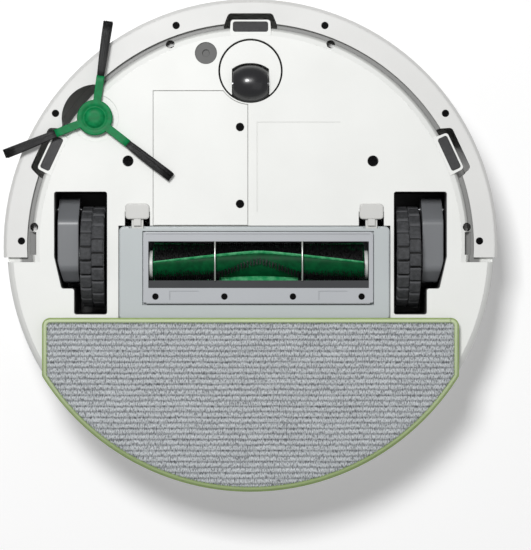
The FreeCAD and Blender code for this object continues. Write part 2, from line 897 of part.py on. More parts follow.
# ---------------------------------------------------------------- caster
def make_caster():
    """A turning fork in a round socket, with the wheel's axle behind its post."""
    radius = "caster_ring - caster_gap"
    wheel_y = "caster_trail - caster_front"
    half = "caster_wheel_wide / 2"
    drum = joined(
        post(0, CASTER_Y, radius, ("floor_gap + caster_sink", "floor_gap + caster_tall")),
        post(0, CASTER_Y, 4, ("floor_gap + caster_tall - 1", "floor_gap + caster_tall + 13")),
    )
    stations = (1, 0.8, 0.6, 0.4, 0.2, 0, -0.2, -0.4, -0.6, -0.8, -1)
    crown = [(x, f"caster_crown * {abs(x) ** 2.4:.4f}") for x in stations]
    front = f"{wheel_y} - caster_wheel_radius - 1.2"
    arch = [
        (f"-{half} - 0.8", f"{CASTER_Y} + caster_ring + 2"),
        (f"{half} + 0.8", f"{CASTER_Y} + caster_ring + 2"),
        *[(f"{x} * ({half} + 0.8)", f"{front} + {drop}") for x, drop in crown],
    ]
    slot = prism(arch, (0, "2 * caster_wheel_radius + 0.9"))
    lighten = cut(
        post(0, CASTER_Y, f"{radius} - 1.8", ("floor_gap + 2.2", "floor_gap + caster_tall - 2")),
        box((f"-{half} - 4.4", f"{half} + 4.4"), (BACK, FAR), (0, "body_height")),
    )
    axle_half = f"{half} + 3.2"
    reach = (f"-({axle_half}) - 0.1", f"{axle_half} + 0.1")
    bore = rod(reach, wheel_y, "caster_wheel_radius", "caster_axle_radius")
    part("caster_swivel", cut(drum, slot, lighten, bore))
    axle = rod((f"-({axle_half})", axle_half), wheel_y, "caster_wheel_radius", "caster_axle_radius")
    part("caster_axle", axle)
    bulge = turned_across(
        [
            (f"-{half}", "caster_axle_radius + running"),
            (f"{half}", "caster_axle_radius + running"),
            *[(f"{half} * {x}", f"caster_wheel_radius - {drop}") for x, drop in crown],
        ],
        0,
        wheel_y,
        "caster_wheel_radius",
    )
    part("caster_wheel", bulge)


# ---------------------------------------------------------------- side brush
def turned_flat(item, angle):
    """Turns a piece made along +X about the side brush's shaft."""
    item.Placement = FreeCAD.Placement(
        Vector(size("side_x"), size("side_y"), 0), FreeCAD.Rotation(Vector(0, 0, 1), angle)
    )
    bind(item, "Placement.Base.x", "side_x")
    bind(item, "Placement.Base.y", "side_y")
    return item


ARM_ANGLES = (-82, 38, 158)


def make_side_brush():
    """Three sloping arms about a hub, with a flat tuft clamped in each arm."""
    low = "side_hub_low"
    high = "side_hub_low + side_hub_thick"
    hub = joined(
        post("side_x", "side_y", "side_hub_radius", (f"{low} + 0.8", high)),
        post("side_x", "side_y", "side_hub_radius - 5", (low, high)),
        post("side_x", "side_y", "side_shaft_radius", (f"{high} - 0.1", "floor_gap + 13")),
    )
    arms = []
    tufts = []
    for angle in ARM_ANGLES:
        half = "side_arm_wide / 2"
        arm = prism(
            [
                (3, f"-{half} - 1"),
                ("side_arm_reach", f"-{half}"),
                ("side_arm_reach", half),
                (3, f"{half} + 1"),
            ],
            (f"{low} + 0.4", f"{high} - 0.6"),
        )
        arms.append(turned_flat(arm, angle))
        bind(arm, "Placement.Base.z", f"{low} + 0.4")
        tuft = prism(
            [
                ("side_arm_reach - 3", "-tuft_root / 2"),
                ("tuft_reach", "-tuft_tip / 2"),
                ("tuft_reach", "tuft_tip / 2"),
                ("side_arm_reach - 3", "tuft_root / 2"),
            ],
            (f"{low} + 1", f"{low} + 1 + tuft_thick"),
        )
        tufts.append(turned_flat(tuft, angle))
        bind(tuft, "Placement.Base.z", f"{low} + 1")
    bristles = group(*tufts)
    part("side_brush_hub", cut(joined(hub, *arms), joined(*tufts)))
    part("side_brush_bristles", bristles)
    motor = cut(
        post("side_x", "side_y", "side_motor_radius", ("side_motor_low", "side_motor_low + 24")),
        post("side_x", "side_y", "side_shaft_radius + running", (0, "floor_gap + 13.3")),
    )
    part("side_brush_motor", motor)


# ---------------------------------------------------------------- drive wheels
def make_wheel(side, name):
    """One swinging arm with its gear motor, hub and tyre. The other side is its mirror image."""
    flip = (lambda item: item) if side < 0 else mirrored
    arm = side_prism(
        [
            ("arm_front", "pivot_z - 9"),
            ("arm_front", "pivot_z + 7"),
            ("pivot_y + 5", "arm_high"),
            ("arm_rear", "arm_high"),
            ("arm_rear", "arm_low + 10"),
            ("arm_rear - 9", "arm_low"),
            ("pivot_y + 8", "arm_low"),
        ],
        ("-arm_outer", "-arm_inner"),
        "6",
    )
    hollow = side_prism(
        [
            ("pivot_y + 8", "arm_low + 9"),
            ("pivot_y + 8", "arm_high - 2"),
            ("arm_rear - 2", "arm_high - 2"),
            ("arm_rear - 2", "arm_low + 12"),
            ("arm_rear - 9", "arm_low + 2"),
            ("pivot_y + 14", "arm_low + 2"),
        ],
        ("-arm_outer + 4.6", "-arm_inner - 2"),
    )
    arm = cut(
        arm,
        hollow,
        rod(("-arm_outer - 1", "-arm_inner + 1"), "pivot_y", "pivot_z", "pivot_radius + running"),
        rod(("-arm_inner - 3", "-arm_inner + 1"), "wheel_y", "wheel_radius", "14"),
    )
    corner = prism(
        [
            ("-well_outer + 1.3", "wheel_y"),
            ("-well_outer + 6.5", "well_side_rear"),
            ("-well_outer - 3", "well_side_rear"),
            ("-well_outer - 3", "wheel_y"),
        ],
        (0, "well_roof"),
    )
    arm = cut(arm, corner)
    part(f"wheel_arm_{name}", flip(arm))
    motor = joined(
        rod(("-arm_outer + 5", "-arm_inner - 2.1"), "wheel_y", "wheel_radius", 15),
        rod(("-arm_outer + 6", "-wheel_x - 1.6"), "wheel_y", "wheel_radius", 13.9),
        rod(("-wheel_x - 2", "-wheel_x + wheel_wide / 2 - 1.2"), "wheel_y", "wheel_radius", "wheel_shaft"),
    )
    part(f"wheel_motor_{name}", flip(motor))
    half = "wheel_wide / 2"
    bore = "wheel_shaft + running"
    hub = turned_across(
        [
            (f"-{half}", "rim_radius - 2.2"),
            (f"-{half}", "rim_radius"),
            (half, "rim_radius"),
            (half, "rim_radius - 2.2"),
            (f"{half} - 4", "rim_radius - 2.2"),
            (f"{half} - 4", "wheel_shaft + 4"),
            (f"{half} - 0.4", "wheel_shaft + 4"),
            (f"{half} - 0.4", bore),
            (f"{half} - 8", bore),
            (f"{half} - 8", "rim_radius - 2.2"),
        ],
        "-wheel_x",
        "wheel_y",
        "wheel_radius",
    )
    part(f"wheel_hub_{name}", flip(hub))
    tyre = turned_across(
        [
            (f"-{half}", "rim_radius"),
            (half, "rim_radius"),
            (half, "wheel_radius - 1.6"),
            (f"{half} - 1", "wheel_radius"),
            (f"-{half} + 1", "wheel_radius"),
            (f"-{half}", "wheel_radius - 1.6"),
        ],
        "-wheel_x",
        "wheel_y",
        "wheel_radius",
    )
    part(f"wheel_tyre_{name}", flip(tyre))


def make_pins():
    pin = rod(("-well_outer", "-arm_inner + 0.6"), "pivot_y", "pivot_z", "pivot_radius")
    part("wheel_pivot_pins", group(pin, mirrored(pin)))


# ---------------------------------------------------------------- cleaning head
IDLER = "brush_z + gear_module * (gear_teeth + idler_teeth) / 2"
PINION = f"{IDLER} + gear_module * (idler_teeth + pinion_teeth) / 2"
TUNNEL = ("mouth_left - 1.7", "mouth_right + 1.7")
GUARD_SCREWS = ("(mouth_left + 4.8)", "(wire_left + 6.4)", "(wire_right - 6.3)", "(mouth_right - 4.9)")


def make_head():
    """The grey housing round the main brush, open below and through to the bin behind."""
    outline = [
        ("head_left", "head_front"),
        ("head_right", "head_front"),
        ("head_right", "head_rear"),
        ("head_left", "head_rear"),
    ]
    block = prism(outline, ("head_low", "head_high"), "3.6", "head_edge")
    trims = [
        rod(TUNNEL, "brush_y", "brush_z", "tunnel_radius"),
        box(TUNNEL, ("brush_y - tunnel_radius", "brush_y + tunnel_radius"), (0, "brush_z")),
        box((-60, 60), ("brush_y", "head_rear + 1"), (20, 33)),
        box(
            ("guard_left - fit", "guard_right + fit"),
            ("guard_front - fit", "guard_rear + hinge_room"),
            (0, "guard_low + guard_thick + 0.3"),
        ),
        box(
            ("guard_left - fit", "guard_right + fit"),
            ("guard_rear - 4", "guard_rear + hinge_room"),
            (0, "guard_low + guard_thick + 1.2"),
        ),
        box(
            ("gear_left - 1.4", "gear_left + gear_wide + 1.4"),
            ("brush_y - 11.4", "brush_y + 11.4"),
            ("brush_z - 9.6", "head_high + 1"),
        ),
        rod(("gear_left - 9", "gear_left + gear_wide + 3.2"), "brush_y", "brush_z", "gear_pin + running"),
        rod(("mouth_left - 6", "mouth_left"), "brush_y", "brush_z", "gear_pin + running"),
        rod(("gear_left - 2", "gear_left + gear_wide + 2"), "brush_y", IDLER, "gear_pin"),
    ]
    for side, tab in ((-1, "-tab_x"), (1, "tab_right_x")):
        trims.append(box((f"{tab} - 4.4", f"{tab} + 4.4"), ("head_front - 1", "guard_front"), (9, 11)))
        trims.append(
            box(
                (f"{tab} - 5.6", f"{tab} + 5.6"),
                ("head_front - 1", "head_front + 1.4"),
                (0, "head_low + 3.4"),
            )
        )
    left_space = box(("head_left + 2", "mouth_left - 7"), ("head_front + 2", "head_rear - 2"), (10, 60))
    front_space = box(("head_left + 2", 80), ("head_rear - 9", "head_rear - 2"), (10, 19))
    part("brush_housing", cut(block, *trims, left_space, front_space))
    frame = prism(
        [
            ("guard_left", "guard_front"),
            ("guard_right", "guard_front"),
            ("guard_right", "guard_rear"),
            ("guard_left", "guard_rear"),
        ],
        ("guard_low", "guard_low + guard_thick"),
        "2.2",
        "guard_edge",
    )
    line = "panel_groove"
    depth = (0, "guard_low + 0.35")
    mark_rear = "guard_screw_y + 2.4"
    mark_front = "guard_screw_y - 3.7"
    border = ("guard_front + 1.5", f"guard_front + 1.5 + {line}")
    grooves = [box(("guard_left + 2.4", "guard_right - 2.4"), border, depth)]
    marks = (("mouth_left + 14.3", "mouth_left + 34"), ("mouth_right - 34", "mouth_right - 14.8"))
    for left, right in marks:
        grooves.append(box((left, f"{left} + {line}"), (mark_front, mark_rear), depth))
        grooves.append(box((left, right), (mark_front, f"{mark_front} + {line}"), depth))
    guard = cut(
        frame,
        box(("mouth_left", "mouth_right"), ("mouth_front", "mouth_rear"), (0, "head_high")),
        box(("guard_left - 1", "guard_right + 1"), ("guard_hinge_y", "guard_rear + 1"), (0, "head_high")),
        *grooves,
        *[post(x, "guard_screw_y", 2.2, (0, "guard_low + 1.1")) for x in GUARD_SCREWS],
        *[post(x, "guard_screw_y", 1, (0, "guard_low + 5")) for x in GUARD_SCREWS],
    )
    hinge_line = ("guard_left + 2.2", "guard_right - 2.2")
    hinge = rod(hinge_line, "guard_hinge_y", "guard_low + hinge_radius", "hinge_radius")
    part("brush_guard", joined(guard, hinge))
    part(
        "guard_screws",
        group(*[screw(x, "guard_screw_y", "guard_low + 0.2", 2.1, 0.9, 0.95, 1.6) for x in GUARD_SCREWS]),
    )
    part(
        "wiper_strip",
        box(
            ("mouth_left", "mouth_right"),
            ("wiper_front", "mouth_rear"),
            ("guard_low + 0.4", "guard_low + 1.6"),
        ),
    )
    part("guard_wires", free_shape(wires()))


def wires():
    """Two round wires that bow under the brush, from the front of the guard's mouth to the wiper."""
    low = size("wire_low")
    rise = size("wire_rise")
    middle = (size("mouth_front") + size("wiper_front")) / 2
    half = (size("wiper_front") - size("mouth_front")) / 2
    made = []
    for name in ("wire_left", "wire_right"):
        x = size(name)
        ends = [Vector(x, middle + side * half, low + rise) for side in (-1, 1)]
        path = Part.Wire([Part.Arc(ends[0], Vector(x, middle, low), ends[1]).toShape()])
        tangent = path.Edges[0].tangentAt(path.Edges[0].FirstParameter)
        ring = Part.Wire([Part.Circle(ends[0], tangent, size("wire_radius")).toShape()])
        made.append(path.makePipeShell([ring], True, True))
    return Part.makeCompound(made)


def spiral_blade(turn, inner, outer, thick):
    """A chevron blade: a thin radial fin that leads at mid length and trails at both ends."""
    left, right = size("mouth_left") + 3.4, size("mouth_right") - 3.4
    middle = (left + right) / 2
    sections = 9
    halves = []
    for start, end in ((left, middle), (middle, right)):
        wires_made = []
        for i in range(sections):
            x = start + (end - start) * i / (sections - 1)
            lag = size("brush_twist") * abs(x - middle) / (middle - left)
            corners = []
            for r, across in ((inner, -1), (outer, -1), (outer, 1), (inner, 1)):
                point = Vector(x, across * thick / 2, -r)
                spin = FreeCAD.Rotation(Vector(1, 0, 0), turn + lag)
                corners.append(spin.multVec(point) + Vector(0, size("brush_y"), size("brush_z")))
            wires_made.append(Part.makePolygon(corners + corners[:1]))
        halves.append(Part.makeLoft(wires_made, True, True))
    return halves[0].fuse(halves[1])


BLADES = 4


def make_brush():
    """The main brush: a green core with rubber chevrons, bristle rows between them, and white ends."""
    core = rod(("mouth_left + cap_wide", "mouth_right - cap_wide"), "brush_y", "brush_z", "brush_core")
    shaft = joined(
        rod(("mouth_left - 5", "mouth_left + cap_wide + 1"), "brush_y", "brush_z", "gear_pin"),
        rod(
            ("mouth_right - cap_wide - 1", "gear_left + gear_wide + 2.8"),
            "brush_y",
            "brush_z",
            "gear_pin",
        ),
    )
    part("main_brush_core", joined(core, shaft))
    radius = size("brush_radius")
    inner = size("brush_core") - 0.6
    step = 360 / BLADES
    blades = [spiral_blade(-36 + i * step, inner, radius, 1.6) for i in range(BLADES)]
    rows = [spiral_blade(-36 + (i + 0.5) * step, inner, radius + 0.2, 2.6) for i in range(BLADES)]
    cylinder = Part.makeCylinder(
        size("brush_core"), 400, Vector(-200, size("brush_y"), size("brush_z")), Vector(1, 0, 0)
    )
    part("main_brush_blades", free_shape(Part.makeCompound([b.cut(cylinder) for b in blades])))
    part("main_brush_bristles", free_shape(Part.makeCompound([b.cut(cylinder) for b in rows])))
    caps = [
        cut(
            rod(span, "brush_y", "brush_z", "cap_radius"),
            rod((BACK, FAR), "brush_y", "brush_z", "gear_pin"),
        )
        for span in (
            ("mouth_left + 0.4", "mouth_left + cap_wide"),
            ("mouth_right - cap_wide", "mouth_right - 0.4"),
        )
    ]
    part("main_brush_caps", group(*caps))


def gear_outline(teeth, turn):
    """A closed involute outline at pressure angle 22, with a little backlash, one tooth at this angle."""
    module = size("gear_module")
    pressure = math.radians(22)
    pitch = module * teeth / 2
    base = pitch * math.cos(pressure)
    tip, root = pitch + 0.85 * module, pitch - 1.15 * module
    half = (math.pi / 2 - 0.16) / teeth
    involute = math.tan(pressure) - pressure
    flank = []
    steps = 6
    start = max(base, root + 0.05)
    for i in range(steps):
        r = start + (tip - start) * i / (steps - 1)
        a = math.acos(min(1, base / r))
        flank.append((r, half + involute - (math.tan(a) - a)))
    flank.insert(0, (root, flank[0][1] + 0.01))
    points = []
    for tooth in range(teeth):
        centre = math.radians(turn) + 2 * math.pi * tooth / teeth
        rising = [(r, centre - a) for r, a in flank]
        falling = [(r, centre + a) for r, a in reversed(flank)]
        points += rising + falling
    return points


def gear(teeth, y, z, turn, bore):
    """A spur gear lying across the robot, centred at this Y and Z."""
    x = size("gear_left")
    corners = [
        Vector(x, y + r * math.cos(a), z + r * math.sin(a)) for r, a in gear_outline(teeth, turn)
    ]
    face = Part.Face(Part.makePolygon(corners + corners[:1]))
    solid = face.extrude(Vector(size("gear_wide"), 0, 0))
    hole = Part.makeCylinder(bore, 60, Vector(x - 20, y, z), Vector(1, 0, 0))
    return free_shape(solid.cut(hole))


def make_drive():
    """The main brush's gear train: a pinion on the motor, an idler above the brush, and its gear."""
    y, z = size("brush_y"), size("brush_z")
    module = size("gear_module")
    teeth = [int(size(name)) for name in ("gear_teeth", "idler_teeth", "pinion_teeth")]
    idler_z = z + module * (teeth[0] + teeth[1]) / 2
    pinion_z = idler_z + module * (teeth[1] + teeth[2]) / 2
    pin = size("gear_pin")
    part("brush_gear", gear(teeth[0], y, z, 90, pin))
    part("brush_idler", gear(teeth[1], y, idler_z, -90 + 180 / teeth[1], pin + size("running")))
    idler_up = (90 - (-90 + 180 / teeth[1])) / (360 / teeth[1]) % 1
    part("brush_pinion", gear(teeth[2], y, pinion_z, -90 + (0.5 - idler_up) * 360 / teeth[2], pin))
    case_left = "gear_left - 1.4"
    case_right = "gear_left + gear_wide + 1.4"
    case = cut(
        box(
            (f"{case_left} - 1.6", f"{case_right} + 1"),
            ("brush_y - 13", "brush_y + 13"),
            ("head_high", f"{PINION} + 10"),
        ),
        box(
            (case_left, case_right),
            ("brush_y - 11.4", "brush_y + 11.4"),
            (0, f"{PINION} + 8.4"),
        ),
        rod((f"{case_left} - 3", case_left), "brush_y", PINION, "gear_pin + running"),
    )
    idler_span = (f"{case_left} - 0.5", f"{case_right} + 0.5")
    idler_pin = rod(idler_span, "brush_y", IDLER, "gear_pin")
    idler_bore = rod(idler_span, "brush_y", IDLER, "gear_pin")
    motor = rod(("gear_left - 40", f"{case_left} - 1.6"), "brush_y", PINION, 11)
    motor_bore = rod((f"{case_left} - 12", case_left), "brush_y", PINION, "gear_pin + running")
    strut = box(
        (f"{case_left} - 1.6", f"{case_left} + 0.05"),
        ("brush_y - 3", "brush_y + 3"),
        ("head_high", "head_high + 6"),
    )
    part("brush_motor", cut(joined(case, motor, strut), motor_bore, idler_bore))
    part("brush_pinion_shaft", rod((f"{case_left} - 10", case_right), "brush_y", PINION, "gear_pin"))
    part("idler_pin", idler_pin)


def make_tabs():
    """Two sprung latches in front of the housing, each with a tongue into it."""
    for label, tab in (("guard_tab_left", "-tab_x"), ("guard_tab_right", "tab_right_x")):
        half = "tab_wide / 2"
        plate = prism(
            [
                (f"{tab} - {half}", "tab_front"),
                (f"{tab} + {half}", "tab_front"),
                (f"{tab} + {half}", "tab_rear"),
                (f"{tab} - {half}", "tab_rear"),
            ],
            ("tab_low", "floor_gap - 0.25"),
            "2.4",
            "0.9",
        )
        hook = box(
            (f"{tab} - 2.4", f"{tab} + 2.4"),
            ("tab_rear - 1.4", "head_front - 0.4"),
            ("tab_low + 0.4", "floor_gap + 2"),
        )
        tongue = box((f"{tab} - 4", f"{tab} + 4"), ("tab_rear - 2", "guard_front - 0.8"), (9.2, 10.6))
        part(label, joined(plate, hook, tongue))


# ---------------------------------------------------------------- inside: battery, boards, fan
def make_inside():
    part(
        "battery_pack",
        box(
            ("door_left + door_ledge + 1", "door_right - door_ledge - 9"),
            (-91, "door_rear - door_ledge - 1"),
            ("floor_gap + door_thick + 0.6", "floor_gap + door_thick + battery_tall"),
        ),
    )
    board = box((-88, 88), (-93, -22), (56, 57.6))
    chips = [box((x, x + w), (y, y + d), (57.6, 57.6 + t)) for x, y, w, d, t in (
        (-20, -60, 18, 18, 1.8), (20, -56, 14, 12, 1.4), (-64, -70, 24, 12, 9), (52, -80, 20, 10, 8),
    )]
    part("main_board", joined(board, *chips))
    fan = ("fan_x", "fan_y")
    outlet = ("fan_y + impeller_radius", "fan_y + fan_radius + 3")
    part(
        "fan_housing",
        cut(
            post(*fan, "fan_radius", (FLOOR_TOP, 38)),
            post(*fan, "impeller_radius + 1.5", ("floor_gap + skin + 2", 36)),
            post(*fan, 3, (30, 39)),
            box(("fan_x - 8", "fan_x + 8"), outlet, (15, 34)),
        ),
    )
    part("fan_motor", cut(post(*fan, 14, (38, 53)), post(*fan, 2.05, (30, 50))))
    vanes = []
    for i in range(9):
        vane = box((6, "impeller_radius - 0.4"), (-0.6, 0.6), (16.5, 30))
        turn = FreeCAD.Rotation(Vector(0, 0, 1), 40 * i)
        vane.setExpression("Placement.Base.x", None)
        vane.setExpression("Placement.Base.y", None)
        vane.setExpression("Placement.Base.z", None)
        root = turn.multVec(Vector(5, 2, 0))
        vane.Placement = FreeCAD.Placement(root + Vector(0, 0, 16.5), turn)
        bind(vane, "Placement.Base.x", f"fan_x + {root.x:.4f}")
        bind(vane, "Placement.Base.y", f"fan_y + {root.y:.4f}")
        vanes.append(vane)
    hub = post(*fan, 6, (16, 33))
    plate = post(*fan, "impeller_radius", (16, 17.2))
    spindle = post(*fan, 2, (32, 48))
    part("impeller", joined(hub, plate, spindle, *vanes))


# ---------------------------------------------------------------- bin, tank and mop
def make_bin():
    """The drawer at the rear: dust compartment in front, water tank behind."""
    left, right = "-bay_half + bin_fit", "bay_half - bin_fit"
    front = "bay_front + bin_fit"
    low = "floor_gap + 0.2"
    lean = turned(
        [
            (0, low),
            ("rear_edge_radius", low),
            ("rear_edge_radius + 2", "floor_gap + 1.8"),
            ("rear_edge_radius + 4", "floor_gap + 4.4"),
            ("body_radius", "floor_gap + rear_lean"),
            ("body_radius", "cover_low - 0.6"),
            ("body_radius - skin", "cover_low - 0.6"),
            ("body_radius - skin", "bin_high"),
            (0, "bin_high"),
        ]
    )
    outer = shared(lean, box((left, right), (front, FAR), (0, "body_height")))
    wall = "bin_wall"
    rear_inside = post(0, 0, "rear_edge_radius", ("floor_gap + bin_floor", f"bin_high - {wall}"))
    dust = box(
        (f"{left} + {wall}", f"{right} - {wall}"),
        (f"{front} + {wall}", "divider_y"),
        ("floor_gap + bin_floor", "body_height"),
    )
    tank = cut(
        shared(
            rear_inside,
            box(
                (f"{left} + {wall}", f"{right} - {wall}"),
                (f"divider_y + {wall}", FAR),
                (0, "body_height"),
            ),
        ),
        box(("-button_half - 4", "button_half + 4"), (152, FAR), ("button_low - 3", "button_high + 3")),
    )
    mouth = box((-58, 58), (f"{front} - 1", f"{front} + {wall} + 1"), (20, 33))
    pocket = box(
        ("-button_half - press_gap", "button_half + press_gap"),
        (157, FAR),
        ("button_low - press_gap", "button_high + press_gap"),
    )
    grooves = [
        box(
            (f"{side} * rail_x - rail_wide / 2 - fit", f"{side} * rail_x + rail_wide / 2 + fit"),
            ("mop_front + 6", FAR),
            (0, "floor_gap + rail_tall + 0.4"),
        )
        for side in (-1, 1)
    ]
    filler = post("plug_x", "plug_y", "plug_radius", ("bin_high - 6", "body_height"))
    part("bin_body", cut(outer, dust, tank, mouth, pocket, filler, *grooves))
    part(
        "bin_lid",
        box(
            (f"{left} + {wall} + 0.2", f"{right} - {wall} - 0.2"),
            (f"{front} + {wall} + 0.2", "divider_y - 0.2"),
            ("bin_high - lid_thick", "bin_high"),
        ),
    )
    filter_depth = (f"{front} + {wall}", f"{front} + {wall} + 12")
    part("bin_filter", box((-95, -20), filter_depth, (36, "bin_high - lid_thick - 0.2")))
    part(
        "tank_plug",
        joined(
            post("plug_x", "plug_y", "plug_radius", ("bin_high - 4", "bin_high")),
            post("plug_x", "plug_y", "plug_radius + 2", ("bin_high", "bin_high + 1.6")),
        ),
    )
    pump_depth = ("divider_y + bin_wall", "divider_y + 22")
    part("water_pump", box((60, 88), pump_depth, ("floor_gap + bin_floor", 34)))
    face = post(0, 0, "body_radius - 0.1", ("button_low", "button_high"))
    part("bin_button", shared(face, box(("-button_half", "button_half"), (160, FAR), (0, "body_height"))))
    edge = [
        ("-mop_half", "mop_front"),
        ("mop_half", "mop_front"),
        ("mop_half", "mop_radius + 8"),
        ("-mop_half", "mop_radius + 8"),
    ]
    pad = shared(
        prism(edge, (0, "pad_thick"), "mop_corner"), post(0, 0, "mop_radius", (0, "pad_thick"))
    )
    part("mop_pad", pad)
    inset = [
        ("-mop_half + plate_inset", "mop_front + plate_inset"),
        ("mop_half - plate_inset", "mop_front + plate_inset"),
        ("mop_half - plate_inset", "mop_radius + 8"),
        ("-mop_half + plate_inset", "mop_radius + 8"),
    ]
    plate_top = "pad_thick + plate_thick"
    plate = shared(
        prism(inset, ("pad_thick", plate_top), "mop_corner - 1"),
        post(0, 0, "mop_radius - plate_inset", (0, "body_height")),
    )
    rails = [
        box(
            (f"{side} * rail_x - rail_wide / 2", f"{side} * rail_x + rail_wide / 2"),
            ("mop_front + 8", "mop_radius - 16"),
            (f"{plate_top} - 0.5", "floor_gap + rail_tall"),
        )
        for side in (-1, 1)
    ]
    part("mop_plate", joined(plate, *rails))


make_base()
make_screws()
make_top()
make_bumper()
make_caster()
make_side_brush()
for side, name in ((-1, "left"), (1, "right")):
    make_wheel(side, name)
make_pins()
make_head()
make_brush()
make_drive()
make_tabs()
make_inside()
make_bin()

# ---------------------------------------------------------------- check and write
doc.recompute()
for item in doc.Objects:
    if {"Invalid", "Error"} & set(item.State):
        raise ValueError(f"{item.Label} failed: {item.State}")
os.makedirs("parts", exist_ok=True)
for label, item in parts.items():
    shape = item.Shape
    if shape.isNull() or not shape.isValid() or not shape.Solids:
        raise ValueError(f"{label} is not a sound solid")
    shape.exportStep(f"parts/{label}.step")
print(len(parts), "sub-parts")
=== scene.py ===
import math

import bpy
import numpy as np
from mathutils import Matrix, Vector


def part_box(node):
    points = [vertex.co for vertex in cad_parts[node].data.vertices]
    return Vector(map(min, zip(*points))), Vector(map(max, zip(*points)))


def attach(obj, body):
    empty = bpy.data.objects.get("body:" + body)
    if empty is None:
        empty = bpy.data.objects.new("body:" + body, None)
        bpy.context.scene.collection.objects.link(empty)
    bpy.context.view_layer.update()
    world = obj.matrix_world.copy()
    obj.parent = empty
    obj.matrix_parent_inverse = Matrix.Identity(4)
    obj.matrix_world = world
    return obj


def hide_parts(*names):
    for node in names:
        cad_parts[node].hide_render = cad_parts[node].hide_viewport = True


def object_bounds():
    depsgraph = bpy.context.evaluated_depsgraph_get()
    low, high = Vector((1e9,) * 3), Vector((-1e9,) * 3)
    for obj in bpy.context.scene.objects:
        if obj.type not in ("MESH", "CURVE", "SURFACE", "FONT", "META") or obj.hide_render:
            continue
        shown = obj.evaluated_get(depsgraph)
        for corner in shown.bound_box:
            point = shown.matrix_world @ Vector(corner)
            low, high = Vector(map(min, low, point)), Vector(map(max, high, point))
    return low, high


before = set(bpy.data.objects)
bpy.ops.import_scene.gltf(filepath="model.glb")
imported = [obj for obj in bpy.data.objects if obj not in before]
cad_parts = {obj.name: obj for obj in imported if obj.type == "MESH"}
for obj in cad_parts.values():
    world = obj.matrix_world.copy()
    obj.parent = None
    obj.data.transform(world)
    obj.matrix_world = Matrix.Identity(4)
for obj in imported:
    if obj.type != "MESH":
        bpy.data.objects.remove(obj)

cad_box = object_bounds()

# ---------------------------------------------------------------------------------------------
# Studio: the robot is seen from below, square on, in front of a plain white sheet that touches
# its top. A second sheet is the floor under its wheels. Each sheet shows on one side only, so
# the robot can be looked at from below and from above in the same light tent.


def one_sided(name, height, facing_up, tone):
    """A wide flat sheet at this height, opaque on the side it faces and clear from behind."""
    half = 8.0
    corners = [(-half, -half, height), (half, -half, height), (half, half, height), (-half, half, height)]
    mesh = bpy.data.meshes.new(name)
    mesh.from_pydata(corners if facing_up else corners[::-1], [], [(0, 1, 2, 3)])
    sheet = bpy.data.objects.new(name, mesh)
    bpy.context.scene.collection.objects.link(sheet)
    paper = bpy.data.materials.new(name)
    paper.use_nodes = True
    tree = paper.node_tree
    tree.nodes.clear()
    matt = tree.nodes.new("ShaderNodeBsdfDiffuse")
    matt.inputs["Color"].default_value = (tone, tone, tone, 1)
    glow = tree.nodes.new("ShaderNodeEmission")
    glow.inputs["Strength"].default_value = 0.06
    lit = tree.nodes.new("ShaderNodeAddShader")
    clear = tree.nodes.new("ShaderNodeBsdfTransparent")
    side = tree.nodes.new("ShaderNodeNewGeometry")
    mix = tree.nodes.new("ShaderNodeMixShader")
    out = tree.nodes.new("ShaderNodeOutputMaterial")
    tree.links.new(side.outputs["Backfacing"], mix.inputs["Fac"])
    tree.links.new(matt.outputs[0], lit.inputs[0])
    tree.links.new(glow.outputs[0], lit.inputs[1])
    tree.links.new(lit.outputs[0], mix.inputs[1])
    tree.links.new(clear.outputs[0], mix.inputs[2])
    tree.links.new(mix.outputs[0], out.inputs["Surface"])
    mesh.materials.append(paper)
    sheet.visible_shadow = False
    sheet.visible_diffuse = False
    sheet.visible_glossy = False


def lamp(name, place, size, power):
    """A square soft box at this place, aimed at the middle of the robot."""
    light = bpy.data.lights.new(name, "AREA")
    light.size = size
    light.energy = power
    holder = bpy.data.objects.new(name, light)
    holder.location = place
    aim = np.array((0, 0, 0.04)) - np.array(place)
    back = -aim / np.linalg.norm(aim)
    side = np.cross((0, 1, 0), back)
    side /= np.linalg.norm(side)
    up = np.cross(back, side)
    turn = np.eye(4)
    turn[:3, 0], turn[:3, 1], turn[:3, 2], turn[:3, 3] = side, up, back, place
    holder.matrix_world = Matrix(turn.tolist())
    bpy.context.scene.collection.objects.link(holder)


top_height = cad_box[1][2] + 0.001
one_sided("backdrop", top_height, False, 1.0)
one_sided("floor", -0.0005, True, 0.86)
lamp("key_below", (-0.3, -0.62, -1.7), 0.42, 23.4)
lamp("fill_below", (0.9, 0.5, -1.7), 1.6, 2.4)
lamp("key_above", (-0.9, -0.8, 1.5), 1.0, 20)
lamp("fill_above", (1.1, 0.9, 1.3), 1.4, 5)

scene = bpy.context.scene
scene.view_settings.view_transform = "Standard"
world = bpy.data.worlds.new("tent")
world.use_nodes = True
world.node_tree.nodes["Background"].inputs["Color"].default_value = (1, 1, 1, 1)
world.node_tree.nodes["Background"].inputs["Strength"].default_value = 0.31
scene.world = world

CAMERA_AWAY = 1.55
UNDERSIDE_HEIGHT = 0.009
FRAME_TALL = 0.374
FRAME_SHIFT = (0.0272727, -0.0527273)
camera_data = bpy.data.cameras.new("camera")
camera_data.sensor_width = 36
camera_data.lens = camera_data.sensor_width / FRAME_TALL * (CAMERA_AWAY + UNDERSIDE_HEIGHT)
camera_data.shift_x, camera_data.shift_y = FRAME_SHIFT
camera = bpy.data.objects.new("camera", camera_data)
camera.location = (0, 0, -CAMERA_AWAY)
camera.rotation_euler = (math.pi, 0, 0)
scene.collection.objects.link(camera)
scene.camera = camera

# ---------------------------------------------------------------------------------------------
# Base: one white injection moulding with a fine spark-eroded grain. The battery door lies in it,
# held by two black screws. The same plastic makes the covers and the caster's drum.


